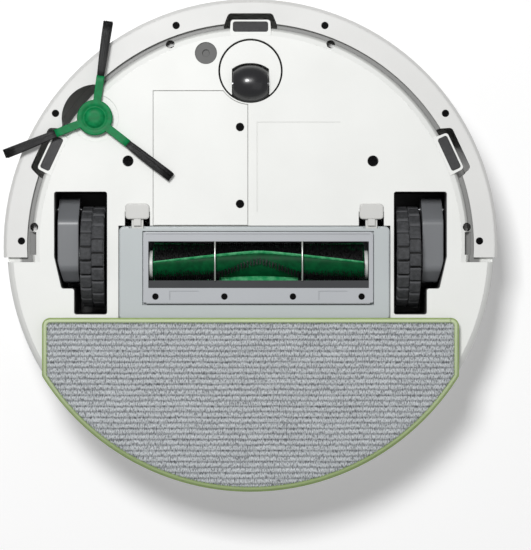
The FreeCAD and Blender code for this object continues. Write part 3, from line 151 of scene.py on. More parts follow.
class Wire:
    """One socket of a material, with arithmetic that adds Math nodes."""

    def __init__(self, tree, socket):
        self.tree = tree
        self.socket = socket

    def node(self, kind, settings=None, inputs=None, out=0):
        """Any node: its settings are set first, then each input gets a value or a link."""
        made = self.tree.nodes.new(kind)
        for name, value in (settings or {}).items():
            setattr(made, name, value)
        for name, value in (inputs or {}).items():
            if isinstance(value, Wire):
                self.tree.links.new(value.socket, made.inputs[name])
            else:
                made.inputs[name].default_value = value
        return Wire(self.tree, made.outputs[out])

    def maths(self, operation, *values, clamp=False):
        return self.node(
            "ShaderNodeMath",
            {"operation": operation, "use_clamp": clamp},
            dict(enumerate(values)),
        )

    def __add__(self, other):
        return self.maths("ADD", self, other)

    __radd__ = __add__

    def __sub__(self, other):
        return self.maths("SUBTRACT", self, other)

    def __rsub__(self, other):
        return self.maths("SUBTRACT", other, self)

    def __mul__(self, other):
        return self.maths("MULTIPLY", self, other)

    __rmul__ = __mul__

    def __truediv__(self, other):
        return self.maths("DIVIDE", self, other)

    def limited(self):
        return self.maths("ADD", self, 0.0, clamp=True)

    def mixed(self, one, other):
        """Colour one where this is 0, and the other where it is 1."""
        return self.node(
            "ShaderNodeMix", {"data_type": "RGBA"}, {0: self, 6: one, 7: other}, out=2
        )


def rgb(red, green, blue):
    """A colour given as 0 to 255 on a screen, as linear light with alpha."""
    parts = []
    for value in (red, green, blue):
        c = value / 255
        parts.append(c / 12.92 if c <= 0.04045 else ((c + 0.055) / 1.055) ** 2.4)
    return (*parts, 1.0)


def new_paint(name):
    """An empty material: its Principled node, and a wire that carries the object's coordinates."""
    material = bpy.data.materials.new(name)
    material.use_nodes = True
    tree = material.node_tree
    shader = tree.nodes["Principled BSDF"]
    place = tree.nodes.new("ShaderNodeTexCoord")
    return material, shader, Wire(tree, place.outputs["Object"])


def connect(shader, **inputs):
    """Feeds the shader's sockets: a wire is linked and anything else is a constant."""
    for name, value in inputs.items():
        socket = shader.inputs[name.replace("_", " ")]
        if isinstance(value, Wire):
            value.tree.links.new(value.socket, socket)
        else:
            socket.default_value = value


def noise(place, scale, detail=2.0, roughness=0.5):
    """Fractal noise, 0 to 1, with this many features in a metre."""
    return place.node(
        "ShaderNodeTexNoise",
        inputs={"Vector": place, "Scale": scale, "Detail": detail, "Roughness": roughness},
    )


def bump(place, height, depth, soften=None):
    """A normal from a height of 0 to 1, which stands for this depth in metres."""
    inputs = {"Height": height, "Strength": 1.0, "Distance": depth}
    if soften is not None:
        inputs["Normal"] = soften
    return place.node("ShaderNodeBump", inputs=inputs)


def moulded(
    name, colour, roughness=0.42, grain=0.000018, shade=0.93, coat=0.0, edge=0.0004, shine=0.5, dust_and_shade=None
):
    """Moulded plastic: fine grain, faint flow clouds, and edges that turn over a small radius. An
    optional function may paint shade into its colour from place to place."""
    material, shader, place = new_paint(name)
    clouds = noise(place, 22, 3.0)
    specks = noise(place, 2600, 1.0)
    darker = tuple(c * shade for c in colour[:3]) + (1.0,)
    round_edge = place.node("ShaderNodeBevel", {"samples": 4}, {"Radius": edge})
    paint = ((clouds - 0.35) * 1.6).limited().mixed(colour, darker)
    connect(
        shader,
        Base_Color=dust_and_shade(place, paint) if dust_and_shade else paint,
        Roughness=roughness + (clouds - 0.5) * 0.12 + (specks - 0.5) * 0.08,
        Normal=bump(place, specks, grain, round_edge),
    )
    connect(shader, Coat_Weight=coat, Coat_Roughness=0.08, Specular_IOR_Level=shine)
    return material


def painted_sunk_shade(place, paint):
    """Painted shade: darkens the faces sunk between the pieces, more with height above the
    underside: first a grey in the bumper's gap, then nearly black in the wells. The outer wall is left
    unshaded."""
    gap_height, gap_deep = 0.0105, 0.006
    well_height, well_deep = 0.019, 0.012
    wall_radius, wall_fade = 0.158, 0.002
    height = place.node("ShaderNodeSeparateXYZ", inputs={0: place}, out=2)
    plan = place.node("ShaderNodeVectorMath", {"operation": "MULTIPLY"}, {0: place, 1: (1.0, 1.0, 0.0)})
    away = place.node("ShaderNodeVectorMath", {"operation": "LENGTH"}, {0: plan}, out=1)
    inside = ((wall_radius - away) / wall_fade).limited()
    # Painted shade: a grey in the bumper's gap, then nearly black in the wells.
    paint = (((height - gap_height) / gap_deep).limited() * inside).mixed(paint, rgb(104, 104, 103))
    return (((height - well_height) / well_deep).limited() * inside).mixed(paint, rgb(24, 24, 25))


def dress(material, *names):
    """Gives CAD pieces this material."""
    for name in names:
        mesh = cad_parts[name].data
        mesh.materials.clear()
        mesh.materials.append(material)


BASE_WHITE = rgb(236, 237, 234)
# The base gets painted shade on its sunk faces: grey in the bumper's gap, nearly black in the wells.
dress(moulded("base_white", BASE_WHITE, dust_and_shade=painted_sunk_shade), "base_plate")
dress(moulded("door_white", BASE_WHITE), "battery_door", "caster_swivel")
black_screw = moulded("black_zinc", rgb(6, 6, 7), 0.5, 0.00001, edge=0.0002, shine=0.05)
dress(black_screw, "door_screws", "chassis_screws", "bumper_screws", "guard_screws")

# ---------------------------------------------------------------------------------------------
# Bumper, covers and keys: the same white plastic, a little greyer. The bumper's flat ring is
# screwed under its curved wall, and the bin's wall closes the back of the body.
dress(moulded("bumper_white", rgb(222, 222, 220)), "bumper_shell", "bumper_ring")
dress(moulded("bin_white", rgb(226, 226, 225)), "bin_body")
dress(moulded("cover_white", rgb(236, 236, 234), 0.36, coat=0.1), "top_cover")
dress(moulded("key_white", rgb(214, 216, 216), 0.3), "clean_button", "dock_button")
dress(moulded("key_grey", rgb(126, 130, 132), 0.4), "bin_button")
dress(moulded("plug_grey", rgb(90, 94, 96), 0.6), "tank_plug")
dress(moulded("lid_smoke", rgb(70, 72, 74), 0.25), "bin_lid")
dress(moulded("window_black", rgb(40, 40, 42), 0.45, 0.0002, shade=0.3), "cliff_sensor_windows")
dress(moulded("lens_black", rgb(18, 18, 20), 0.1, 0.000004, coat=0.6), "dock_sensor_lens")
dress(moulded("sensor_grey", rgb(86, 86, 85), 0.5), "floor_tracking_sensor")

# ---------------------------------------------------------------------------------------------
# Hidden works: battery, boards, fan, motors, gears and pump. They are plain machine parts, and
# show only through the wells and when the bin is out.


def metal(name, colour, roughness, brushed):
    """Bare or plated metal with fine lines turned or drawn along it."""
    material, shader, place = new_paint(name)
    stretched = place.node(
        "ShaderNodeVectorMath", {"operation": "MULTIPLY"}, {0: place, 1: (60.0, 3000.0, 3000.0)}
    )
    lines = noise(stretched, 1.0)
    dull = tuple(c * 0.8 for c in colour[:3]) + (1.0,)
    connect(
        shader,
        Base_Color=lines.mixed(colour, dull),
        Metallic=1.0,
        Roughness=roughness + (lines - 0.5) * brushed,
        Normal=bump(place, lines, 0.00001),
    )
    return material


steel = metal("steel", rgb(196, 197, 200), 0.3, 0.2)
dress(steel, "caster_axle", "idler_pin", "wheel_pivot_pins", "brush_pinion_shaft")
motor_can = metal("motor_can", rgb(132, 134, 136), 0.42, 0.2)
dress(motor_can, "fan_motor", "side_brush_motor", "wheel_motor_left", "wheel_motor_right")
dress(metal("contact_plate", rgb(214, 206, 186), 0.22, 0.1), "charging_contacts")
dress(metal("guard_wire", rgb(226, 230, 224), 0.35, 0.1), "guard_wires")
dress(moulded("gearbox_grey", rgb(70, 72, 74), 0.5), "brush_motor", "fan_housing")
dress(moulded("machine_black", rgb(30, 30, 32), 0.45), "impeller", "bump_switches")
dress(moulded("acetal", rgb(222, 218, 205), 0.35), "brush_gear", "brush_idler", "brush_pinion")
dress(moulded("battery_wrap", rgb(42, 60, 92), 0.3, coat=0.3), "battery_pack")
dress(moulded("board_green", rgb(20, 90, 50), 0.35, coat=0.3), "main_board")
dress(moulded("pump_grey", rgb(150, 152, 154), 0.45), "water_pump")
dress(moulded("filter_paper", rgb(226, 222, 210), 0.9, 0.0001), "bin_filter")

# ---------------------------------------------------------------------------------------------
# Brush module: a cool grey housing and guard, light tabs that release it, a rubber wiper, and a
# wire each side of the middle that keeps carpet off the brush.
dress(moulded("housing_grey", rgb(184, 190, 191), 0.38), "brush_housing")
dress(moulded("guard_grey", rgb(178, 181, 185), 0.36), "brush_guard")
dress(moulded("tab_grey", rgb(206, 206, 203), 0.34), "guard_tab_left", "guard_tab_right")
dress(moulded("wiper_rubber", rgb(48, 50, 53), 0.65), "wiper_strip")

# ---------------------------------------------------------------------------------------------
# Main brush: a moulded green core that carries four chevron blades of soft green rubber, with a
# comb of black bristle between each two, and a white bearing cap at each end.


def put_mesh(name, points, faces, material, body, stands_for=(), uv=None, smooth=True):
    """A finished piece from an array of points and an array of faces, riding on a body."""
    mesh = bpy.data.meshes.new(name)
    face_list = faces.tolist() if hasattr(faces, "tolist") else faces
    mesh.from_pydata(points.reshape(-1, 3).tolist(), [], face_list)
    if uv is not None:
        layer = mesh.uv_layers.new(name="surface")
        loops = np.empty(len(mesh.loops), np.int32)
        mesh.loops.foreach_get("vertex_index", loops)
        layer.data.foreach_set("uv", uv.reshape(-1, 2)[loops].astype(np.float32).ravel())
    mesh.polygons.foreach_set("use_smooth", [smooth] * len(mesh.polygons))
    mesh.materials.append(material)
    mesh.update()
    piece = bpy.data.objects.new(name, mesh)
    scene.collection.objects.link(piece)
    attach(piece, body)
    if stands_for:
        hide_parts(*stands_for)
    return piece


def grid_faces(rows, columns, wrap_rows=False, wrap_columns=False):
    """Four-sided faces between neighbours of a rows by columns grid of points."""
    i = np.arange(rows if wrap_rows else rows - 1)
    j = np.arange(columns if wrap_columns else columns - 1)
    i, j = np.meshgrid(i, j, indexing="ij")
    down, right = (i + 1) % rows, (j + 1) % columns
    quads = np.stack([i * columns + j, i * columns + right, down * columns + right, down * columns + j], -1)
    return quads.reshape(-1, 4)


def closed_rows(points):
    """Faces of a tube: each row of the grid is a ring, and the first and last ring are capped."""
    rows, columns = points.shape[:2]
    faces = grid_faces(rows, columns, False, True).tolist()
    faces.append(list(range(columns))[::-1])
    faces.append([(rows - 1) * columns + k for k in range(columns)])
    return faces


def extent(node):
    """The two opposite corners of a CAD piece's box, as arrays."""
    low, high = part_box(node)
    return np.array(low), np.array(high)


mouth_low, mouth_high = extent("wiper_strip")
cap_low, cap_high = extent("main_brush_caps")
END_GAP = 0.0034
brush_left, brush_right = mouth_low[0] + END_GAP, mouth_high[0] - END_GAP
brush_middle = (brush_left + brush_right) / 2
brush_centre = np.array([0, (cap_low[1] + cap_high[1]) / 2, (cap_low[2] + cap_high[2]) / 2])
blade_low, blade_high = extent("main_brush_blades")
BRUSH_TIP = (blade_high[2] - blade_low[2]) / 2
CORE_RADIUS = 0.0098
BLADE_ROOT = 0.0095
BLADE_FIRST = math.radians(-35)
BLADE_TWIST = math.radians(33)
QUARTER = math.pi / 2
COMB_FIRST = 0.5
COMB_LAST = 1.54
VEE_TOP = 0.45
VEE_FALL = 0.7
VEE_HALF = 0.031
SIDE_COMB = 0.027


def round_brush(x, angle, radius):
    """Points at this angle from straight down, about the brush's shaft: y and z turn with it."""
    return np.stack(
        [x, brush_centre[1] + radius * np.sin(angle), brush_centre[2] - radius * np.cos(angle)], -1
    )


def lag(x, twist):
    """How far a chevron trails: nothing at mid length, all its twist at both ends, and soft between."""
    far = np.abs(x - brush_middle) / (brush_right - brush_middle)
    return twist * (np.sqrt(far**2 + 0.006) - math.sqrt(0.006))


def make_core():
    """A drum whose radius leaps up at each blade and falls away behind it as an exponential. Every
    other blade has a broad smooth flank, and the rest have a short one in front of a comb."""
    x = np.linspace(brush_left - 0.0004, brush_right + 0.0004, 121)[:, None]
    turn = np.linspace(0, 2 * np.pi, 240, endpoint=False)[None, :]
    from_first = (turn - BLADE_FIRST - lag(x, BLADE_TWIST)) % (2 * np.pi)
    behind = from_first % (np.pi / 2)
    broad = np.floor(from_first / (np.pi / 2)) % 2 == 0
    rise = np.clip((behind - np.pi / 2 + 0.12) / 0.12, 0, 1)
    flank = np.exp(-((behind / np.where(broad, 0.95, 0.34)) ** 1.6))
    radius = CORE_RADIUS + (BRUSH_TIP - 0.0014 - CORE_RADIUS) * np.maximum(flank, rise**2)
    x, turn = np.broadcast_arrays(x, turn)
    return round_brush(x, turn, radius)


def soft_green(name, colour, lit, shine=0.28):
    """Soft rubber: satin, with a paler bloom where it is rubbed and faint moulding lines."""
    material, shader, place = new_paint(name)
    bloom = noise(place, 240, 4.0, 0.6)
    fine = noise(place, 1900, 2.0)
    connect(
        shader,
        Base_Color=((bloom - 0.4) * 2.2).limited().mixed(colour, lit),
        Roughness=0.3 + bloom * 0.3,
        Normal=bump(place, fine, 0.00003),
        Specular_IOR_Level=shine,
    )
    return material


core_green = soft_green("brush_core_green", rgb(0, 62, 32), rgb(0, 88, 45), 0.1)
core = make_core()
put_mesh("brush_core", core, closed_rows(core), core_green, "main_brush", ["main_brush_core"])


def make_blade(first):
    """A fin that thins from root to tip. Its section is carried along the chevron's line."""
    x = np.linspace(brush_left, brush_right, 141)
    angle = first + lag(x, BLADE_TWIST)
    out = np.array([0.0, 0.55, 0.92, 1.0, 1.0, 0.92, 0.55, 0.0])
    half = np.array([0.0013, 0.0007, 0.00042, 0.0002, -0.0002, -0.00042, -0.0007, -0.0013])
    radius = BLADE_ROOT + (BRUSH_TIP - BLADE_ROOT) * out
    lean = np.array([0, 0.02, 0.05, 0.06, 0.06, 0.05, 0.02, 0])
    turn = angle[:, None] + half[None, :] / radius[None, :] - lean[None, :]
    x, radius = np.broadcast_to(x[:, None], turn.shape), np.broadcast_to(radius, turn.shape)
    return round_brush(x, turn, radius)


def stacked(shells):
    """Several closed shells with the same grid as one set of points and faces."""
    faces = []
    for k, shell in enumerate(shells):
        offset = k * shell.shape[0] * shell.shape[1]
        faces += [[v + offset for v in face] for face in closed_rows(shell)]
    return np.concatenate([shell.reshape(-1, 3) for shell in shells]), faces


blade_green = soft_green("blade_green", rgb(30, 142, 84), rgb(120, 206, 152))
blades, blade_faces = stacked([make_blade(BLADE_FIRST + QUARTER * k) for k in range(4)])
put_mesh("brush_blades", blades, blade_faces, blade_green, "main_brush", ["main_brush_blades"])


def filament_set(roots, tips, root_radius, tip_radius, bend, segments=5, sides=4):
    """Many thin hairs at once: each is a ring of points carried from its root to its tip, bent by
    a parabola whose middle stands off by bend."""
    along = np.linspace(0, 1, segments + 1)
    path = roots[:, None] + (tips - roots)[:, None] * along[None, :, None]
    path = path + bend[:, None] * (4 * along * (1 - along))[None, :, None]
    way = tips - roots
    way = way / np.linalg.norm(way, axis=1, keepdims=True)
    helper = np.where(np.abs(way[:, :1]) > 0.9, [[0, 1.0, 0]], [[1.0, 0, 0]])
    side = np.cross(way, helper)
    side /= np.linalg.norm(side, axis=1, keepdims=True)
    other = np.cross(way, side)
    turn = 2 * np.pi * np.arange(sides) / sides
    radius = root_radius + (tip_radius - root_radius) * along
    ring = np.cos(turn)[None, :, None] * side[:, None] + np.sin(turn)[None, :, None] * other[:, None]
    points = path[:, :, None] + ring[:, None] * radius[None, :, None, None]
    faces = []
    count = (segments + 1) * sides
    tube = grid_faces(segments + 1, sides, False, True)
    ends = np.array([list(range(sides))[::-1], [segments * sides + s for s in range(sides)]])
    for hair in range(len(roots)):
        faces += (tube + hair * count).tolist() + (ends + hair * count).tolist()
    return points.reshape(-1, 3), faces


def bristle(name, colour, lit):
    """Nylon hair: dark, a little glossy, each hair's tone slightly its own."""
    material, shader, place = new_paint(name)
    tone = noise(place, 700, 2.0)
    connect(
        shader,
        Base_Color=((tone - 0.55) * 4.0).limited().mixed(colour, lit),
        Roughness=0.4 + tone * 0.2,
        Normal=bump(place, tone, 0.00002),
    )
    return material


black_hair = bristle("black_bristle", rgb(7, 7, 8), rgb(50, 51, 53))
rng = np.random.default_rng(7)
comb_roots, comb_tips = [], []


def add_hairs(x, angle, spread, reach):
    """Hairs rooted in the drum at these angles, whose tips fan out by spread."""
    comb_roots.append(round_brush(x, angle + spread * 0.3, np.full(len(x), CORE_RADIUS - 0.0006)))
    comb_tips.append(round_brush(x + rng.normal(0, 0.00022, len(x)), angle + spread, reach))


def side_comb_edge(x):
    """How far behind its blade a side comb begins: it creeps up to the blade towards both ends."""
    out = (np.abs(x - brush_middle) - SIDE_COMB) / (brush_right - brush_middle - SIDE_COMB)
    return 0.78 - 0.44 * np.clip(out, 0, 1)


# Two quarters carry a full comb. The other two leave the middle free for a short comb in a vee.
SIDE_TUFTS, SIDE_HAIRS = 96, 18
VEE_TUFTS, VEE_HAIRS = 30, 48
for k in range(4):
    quarter = BLADE_FIRST + QUARTER * k
    clumps = np.repeat(np.linspace(brush_left + 0.001, brush_right - 0.001, SIDE_TUFTS), SIDE_HAIRS)
    x = clumps + rng.normal(0, 0.00028, len(clumps))
    if k % 2:
        behind = rng.uniform(0.3, COMB_LAST, len(x))
    else:
        x = x[np.abs(x - brush_middle) > SIDE_COMB]
        behind = rng.uniform(side_comb_edge(x), COMB_LAST)
    reach = BRUSH_TIP - 0.0003 - np.abs(rng.normal(0, 0.0007, len(x)))
    add_hairs(x, quarter + behind + lag(x, BLADE_TWIST), rng.normal(0, 0.02, len(x)), reach)
    if k % 2 == 0:
        tufts = np.linspace(brush_middle - VEE_HALF, brush_middle + VEE_HALF, VEE_TUFTS)
        x = np.repeat(tufts, VEE_HAIRS)
        x = x + rng.normal(0, 0.00024, len(x))
        away = np.abs(x - brush_middle) / VEE_HALF
        vee = quarter + VEE_TOP + VEE_FALL * (np.sqrt(away**2 + 0.03) - math.sqrt(0.03))
        vee = vee + lag(x, BLADE_TWIST) + rng.uniform(-0.14, 0.14, len(x))
        spread = rng.normal(0, 0.02, len(x))
        add_hairs(x, vee, spread, BRUSH_TIP - np.abs(rng.normal(0, 0.0004, len(x))))
comb_roots, comb_tips = np.concatenate(comb_roots), np.concatenate(comb_tips)
hairs, hair_faces = filament_set(comb_roots, comb_tips, 0.00022, 0.00014, comb_roots * 0, segments=1)
put_mesh(
    "brush_bristles", hairs, hair_faces, black_hair, "main_brush", ["main_brush_bristles"], smooth=False
)


def make_backing_and_shade(left, right, first, last, quarter):
    """The strip that holds a comb, and also a black sheet of painted shade over the drum between
    the blades: a shallow arch over the drum, from left to right and between two angles behind the
    blade at quarter. The first angle may be a function of x."""
    x = np.linspace(left, right, 61)[:, None]
    share = np.array([0, 0, 0.15, 0.3, 0.5, 0.7, 0.85, 1, 1])[None, :]
    rise = np.array([-0.001, 0.0008, 0.0013, 0.0014, 0.0014, 0.0014, 0.0013, 0.0008, -0.001])[None, :]
    start = first(x) if callable(first) else first
    angle = quarter + start + (last - start) * share + lag(x, BLADE_TWIST)
    x, angle = np.broadcast_arrays(x, angle)
    return round_brush(x, angle, CORE_RADIUS + rise + 0 * x)


# The black strips hold the combs and also stand for the shade between the blades: painted shade over the
# drum.
backing_and_shade_black = moulded("backing_and_shade_black", rgb(12, 12, 13), 0.7, edge=0.0001, shine=0.2)
ends = (brush_left + 0.0004, brush_right - 0.0004)
strips = []
for k in range(4):
    quarter = BLADE_FIRST + QUARTER * k
    if k % 2:
        strips.append(make_backing_and_shade(*ends, COMB_FIRST, COMB_LAST, quarter))
    else:
        for left, right in ((ends[0], brush_middle - SIDE_COMB), (brush_middle + SIDE_COMB, ends[1])):
            strips.append(make_backing_and_shade(left, right, side_comb_edge, COMB_LAST, quarter))
put_mesh("comb_backing_and_shade", *stacked(strips), backing_and_shade_black, "main_brush")
dress(moulded("cap_white", rgb(214, 216, 213), 0.35), "main_brush_caps")

# ---------------------------------------------------------------------------------------------
# Side brush: one soft green moulding with three sloping arms. A tuft of black nylon is clamped
# in each arm and sweeps just above the floor.
hub_low, _ = extent("side_brush_hub")
side_motor_low, side_motor_high = extent("side_brush_motor")
side_x, side_y = (side_motor_low[:2] + side_motor_high[:2]) / 2
HUB_BOTTOM = hub_low[2]
HUB_TOP = HUB_BOTTOM + 0.0046
ARM_ANGLES = [math.radians(a) for a in (-82, 38, 158)]
ARM_REACH = 0.029
ARM_HALF = 0.0027
HUB_RADIUS = 0.0121
RIM_RADIUS = 0.0112
BOSS_RADIUS = 0.006
GROOVE_RADIUS = 0.0075


def make_side_hub():
    """A round hub with a boss in its middle and a groove round that, which runs out into three arms.
    Its edge at each angle is the larger of the hub's circle and the arms' straight sides. Its
    lower face is a sum of clipped ramps and one bell curve in the radius."""
    turn = np.linspace(0, 2 * np.pi, 720, endpoint=False)
    edge = np.full_like(turn, HUB_RADIUS)
    for arm in ARM_ANGLES:
        off = (turn - arm + np.pi) % (2 * np.pi) - np.pi
        ahead = np.abs(off) < 1.2
        limit = np.where(ahead, ARM_HALF / np.maximum(np.sin(np.abs(off)), 1e-4), 0)
        reach = np.minimum(limit, ARM_REACH / np.maximum(np.cos(off), 0.2))
        edge = np.where(ahead, np.maximum(edge, reach), edge)
    inner = (0.0, 0.003, 0.0058, 0.0063, 0.0068, 0.0073, 0.0078, 0.0084, 0.0094, 0.0104, RIM_RADIUS)
    circles = [np.full_like(turn, r) for r in inner]
    circles += [RIM_RADIUS + share * (edge - RIM_RADIUS) for share in (0.3, 0.55, 0.75, 0.9, 1)]
    rings = []
    for radius in circles:
        past_boss = np.clip((radius - BOSS_RADIUS) / 0.0006, 0, 1)
        groove = np.exp(-(((radius - GROOVE_RADIUS) / 0.0009) ** 2))
        slope = np.clip((radius - RIM_RADIUS) / (ARM_REACH - RIM_RADIUS), 0, 1)
        near_edge = np.clip(1 - (edge - radius) / 0.0007, 0, 1)
        low = HUB_BOTTOM + 0.0009 * past_boss + 0.0005 * groove - 0.0006 * slope + 0.001 * near_edge**2
        rings.append(np.stack([side_x + radius * np.cos(turn), side_y + radius * np.sin(turn), low], -1))
    outer = rings[-1].copy()
    for height in (HUB_TOP - 0.0012, HUB_TOP - 0.0004):
        wall = outer.copy()
        wall[:, 2] = height
        rings.append(wall)
    middle = np.array([side_x, side_y, HUB_TOP])
    back = middle + (outer - middle) * 0.97
    back[:, 2] = HUB_TOP
    rings.append(back)
    rings.append(middle + (back - middle) * 0.02)
    return np.stack(rings)


hub = make_side_hub()[::-1]
side_green = soft_green("side_green", rgb(0, 112, 60), rgb(10, 144, 84), 0.16)
put_mesh("side_hub", hub, closed_rows(hub), side_green, "side_brush", ["side_brush_hub"])

tuft_low, tuft_high = extent("side_brush_bristles")
TUFT_REACH = 0.0662
TUFT_HAIRS = 190
tuft_roots, tuft_tips, tuft_bend = [], [], []
for arm in ARM_ANGLES:
    across = rng.uniform(-1, 1, TUFT_HAIRS)
    height = rng.uniform(0.15, 0.85, TUFT_HAIRS)
    along = np.array([math.cos(arm), math.sin(arm)])
    beside = np.array([-along[1], along[0]])
    root = ARM_REACH - 0.004
    reach = TUFT_REACH - np.abs(rng.normal(0, 0.0009, TUFT_HAIRS))
    z = tuft_low[2] + (tuft_high[2] - tuft_low[2]) * height
    start = [side_x, side_y] + along * root + beside * (across * 0.0021)[:, None]
    fan = across * 0.0029 + rng.normal(0, 0.00022, TUFT_HAIRS)
    end = [side_x, side_y] + along * reach[:, None] + beside * fan[:, None]
    tuft_roots.append(np.column_stack([start, z]))
    tuft_tips.append(np.column_stack([end, z]))
    sag = beside * rng.normal(0, 0.0003, TUFT_HAIRS)[:, None]
    tuft_bend.append(np.column_stack([sag, np.zeros(TUFT_HAIRS)]))
hairs, hair_faces = filament_set(
    np.concatenate(tuft_roots), np.concatenate(tuft_tips), 0.00028, 0.0002, np.concatenate(tuft_bend)
)
put_mesh("side_tufts", hairs, hair_faces, black_hair, "side_brush", ["side_brush_bristles"])

# ---------------------------------------------------------------------------------------------
# Drive wheels: a rubber tyre with two staggered rows of blocks on a dark spoked rim, carried on a
# grey swinging arm that holds the motor.
SIDES = (("left", -1), ("right", 1))
# The arms' own grey, set a little darker as painted shade from the wheel wells that falls on them.
arm_grey = moulded("arm_grey", rgb(116, 118, 121), 0.34, edge=0.0012)
dress(arm_grey, "wheel_arm_left", "wheel_arm_right")
dress(moulded("rim_grey", rgb(46, 47, 49), 0.5), "wheel_hub_left", "wheel_hub_right")


def tyre_rubber():
    """Dull rubber with dusty pores, with painted shade that turns the grooves black and a painted highlight
    that makes the blocks' edges paler.
    """
    material, shader, place = new_paint("tyre_rubber")
    dust_and_shade = noise(place, 420, 4.0, 0.65)
    fine = noise(place, 3000, 2.0)
    uv = place.node("ShaderNodeUVMap", {"uv_map": "surface"})
    height = place.node("ShaderNodeSeparateXYZ", inputs={0: uv})
    painted_edge_highlight = (height * (1.0 - height) * 3.0).limited()
    block = ((dust_and_shade - 0.4) * 2.2).limited().mixed(rgb(48, 49, 51), rgb(80, 81, 84))
    connect(
        shader,
        # Painted shade makes the grooves nearly black, and a painted highlight makes the blocks' edges
        # paler.
        Base_Color=painted_edge_highlight.mixed(height.mixed(rgb(10, 10, 11), block), rgb(92, 93, 96)),
        Roughness=0.62 + dust_and_shade * 0.25,
        Normal=bump(place, fine, 0.00005),
    )
    return material


rubber = tyre_rubber()
BLOCKS = 21
TREAD_DEEP = 0.0031
TYRE_THICK = 0.0065


def make_tyre(side, low, high):
    """A ring whose section runs over the tread and down both walls. The tread's height is a smooth
    step up on each block: two rows, the second half a pitch on, with a groove between. The step
    goes along as a UV, 0 in the grooves and 1 on the blocks."""
    middle = (low + high) / 2
    outer = (high[2] - low[2]) / 2
    inner = outer - TYRE_THICK
    width = high[0] - low[0]
    across = np.linspace(-1, 1, 49)
    turn = np.linspace(0, 2 * np.pi, BLOCKS * 20, endpoint=False)
    split = 0.04 * side
    row = (across > split).astype(float)
    phase = (turn[:, None] * BLOCKS / (2 * np.pi) + 0.5 * row[None, :]) % 1
    slant = 0.03 * np.sin(across * np.pi)[None, :]
    gap = np.abs((phase + slant) % 1 - 0.5) * 2
    block = np.clip((0.84 - gap) / 0.07, 0, 1)
    groove = np.clip((np.abs(across - split) - 0.012) / 0.04, 0, 1)[None, :]
    shoulder = 1 - np.clip((np.abs(across) - 0.9) / 0.1, 0, 1)[None, :] ** 2 * 0.45
    lift = block * groove
    lift = lift * lift * (3 - 2 * lift)
    tread = outer - TREAD_DEEP * (1 - lift * shoulder)
    walls = np.array([inner, inner + 0.0012, outer - 0.0032])
    radius = np.concatenate(
        [np.broadcast_to(walls, (len(turn), 3)), tread, np.broadcast_to(walls[::-1], (len(turn), 3))], 1
    )
    place = np.concatenate([[-1, -1, -1], across, [1, 1, 1]]) * width / 2
    x = np.broadcast_to(middle[0] + place[None, :], radius.shape)
    y = middle[1] + radius * np.cos(turn)[:, None]
    z = middle[2] + radius * np.sin(turn)[:, None]
    # This step, carried as a UV, places the painted groove shade and the painted edge highlight.
    block_step_uv = np.concatenate([np.full((len(turn), 3), 0.9), lift, np.full((len(turn), 3), 0.9)], 1)
    return np.stack([x, y, z], -1), np.stack([block_step_uv, 0 * block_step_uv], -1)


for name, side in SIDES:
    tyre, block_step_uv = make_tyre(side, *extent(f"wheel_tyre_{name}"))
    faces = grid_faces(tyre.shape[0], tyre.shape[1], True, True)[:, ::-1]
    put_mesh(f"tread_{name}", tyre, faces, rubber, f"wheel_{name}", [f"wheel_tyre_{name}"], block_step_uv)

# ---------------------------------------------------------------------------------------------
# Caster: a glossy black barrel on a steel pin, in a white drum that turns in the base's socket.


def turned_piece(profile, centre, steps=96):
    """A closed ring: a profile of distance along X and radius, carried round a line along X."""
    turn = np.linspace(0, 2 * np.pi, steps, endpoint=False)[:, None]
    x = np.broadcast_to(centre[0] + profile[None, :, 0], (steps, len(profile)))
    y = centre[1] + profile[None, :, 1] * np.cos(turn)
    z = centre[2] + profile[None, :, 1] * np.sin(turn)
    return np.stack([x, y, z], -1)


caster_low, caster_high = extent("caster_wheel")
barrel_half = (caster_high[0] - caster_low[0]) / 2
barrel_radius = (caster_high[2] - caster_low[2]) / 2
PIN_BORE = 0.00155
CROWN_DROP, CROWN_POWER = 0.004, 2.4
t = np.linspace(-1, 1, 41)
crown = barrel_radius - CROWN_DROP * np.abs(t) ** CROWN_POWER
outline = np.column_stack([t * barrel_half, crown])
outline = np.vstack([[-barrel_half, PIN_BORE], outline, [barrel_half, PIN_BORE]])
barrel = turned_piece(outline, (caster_low + caster_high) / 2)
gloss_black = moulded("caster_black", rgb(30, 30, 33), 0.3, 0.000006, coat=0.35, edge=0.0003)
barrel_faces = grid_faces(*barrel.shape[:2], True, True)[:, ::-1]
put_mesh("caster_barrel", barrel, barrel_faces, gloss_black, "caster_roller", ["caster_wheel"])

# ---------------------------------------------------------------------------------------------
# Mop pad: grey microfibre woven in ribs across the robot, with a folded green tape sewn round its
# edge. It clips over a light grey plate.
dress(moulded("plate_grey", rgb(205, 207, 206), 0.45), "mop_plate")
pad_low, pad_high = extent("mop_pad")
PAD_HALF = pad_high[0]
PAD_FRONT = pad_low[1]
PAD_RADIUS = pad_high[1]
PAD_TOP = pad_high[2]
TAPE_WIDE = 0.0034
RIB_PITCH = 0.00375
RIB_ROOT = 0.0016
RIB_DEEP = 0.00125
CORNER = 0.0055


def pad_half_width(y, inset):
    """Half the pad's width at this y, with its whole outline drawn in by inset."""
    straight = PAD_HALF - inset
    arc = np.sqrt(np.maximum((PAD_RADIUS - inset) ** 2 - y**2, 0))
    into = np.clip((PAD_FRONT + CORNER - y) / (CORNER - inset), 0, 1)
    corner = (CORNER - inset) * (1 - np.sqrt(1 - into**2))
    return np.minimum(straight - corner, arc)


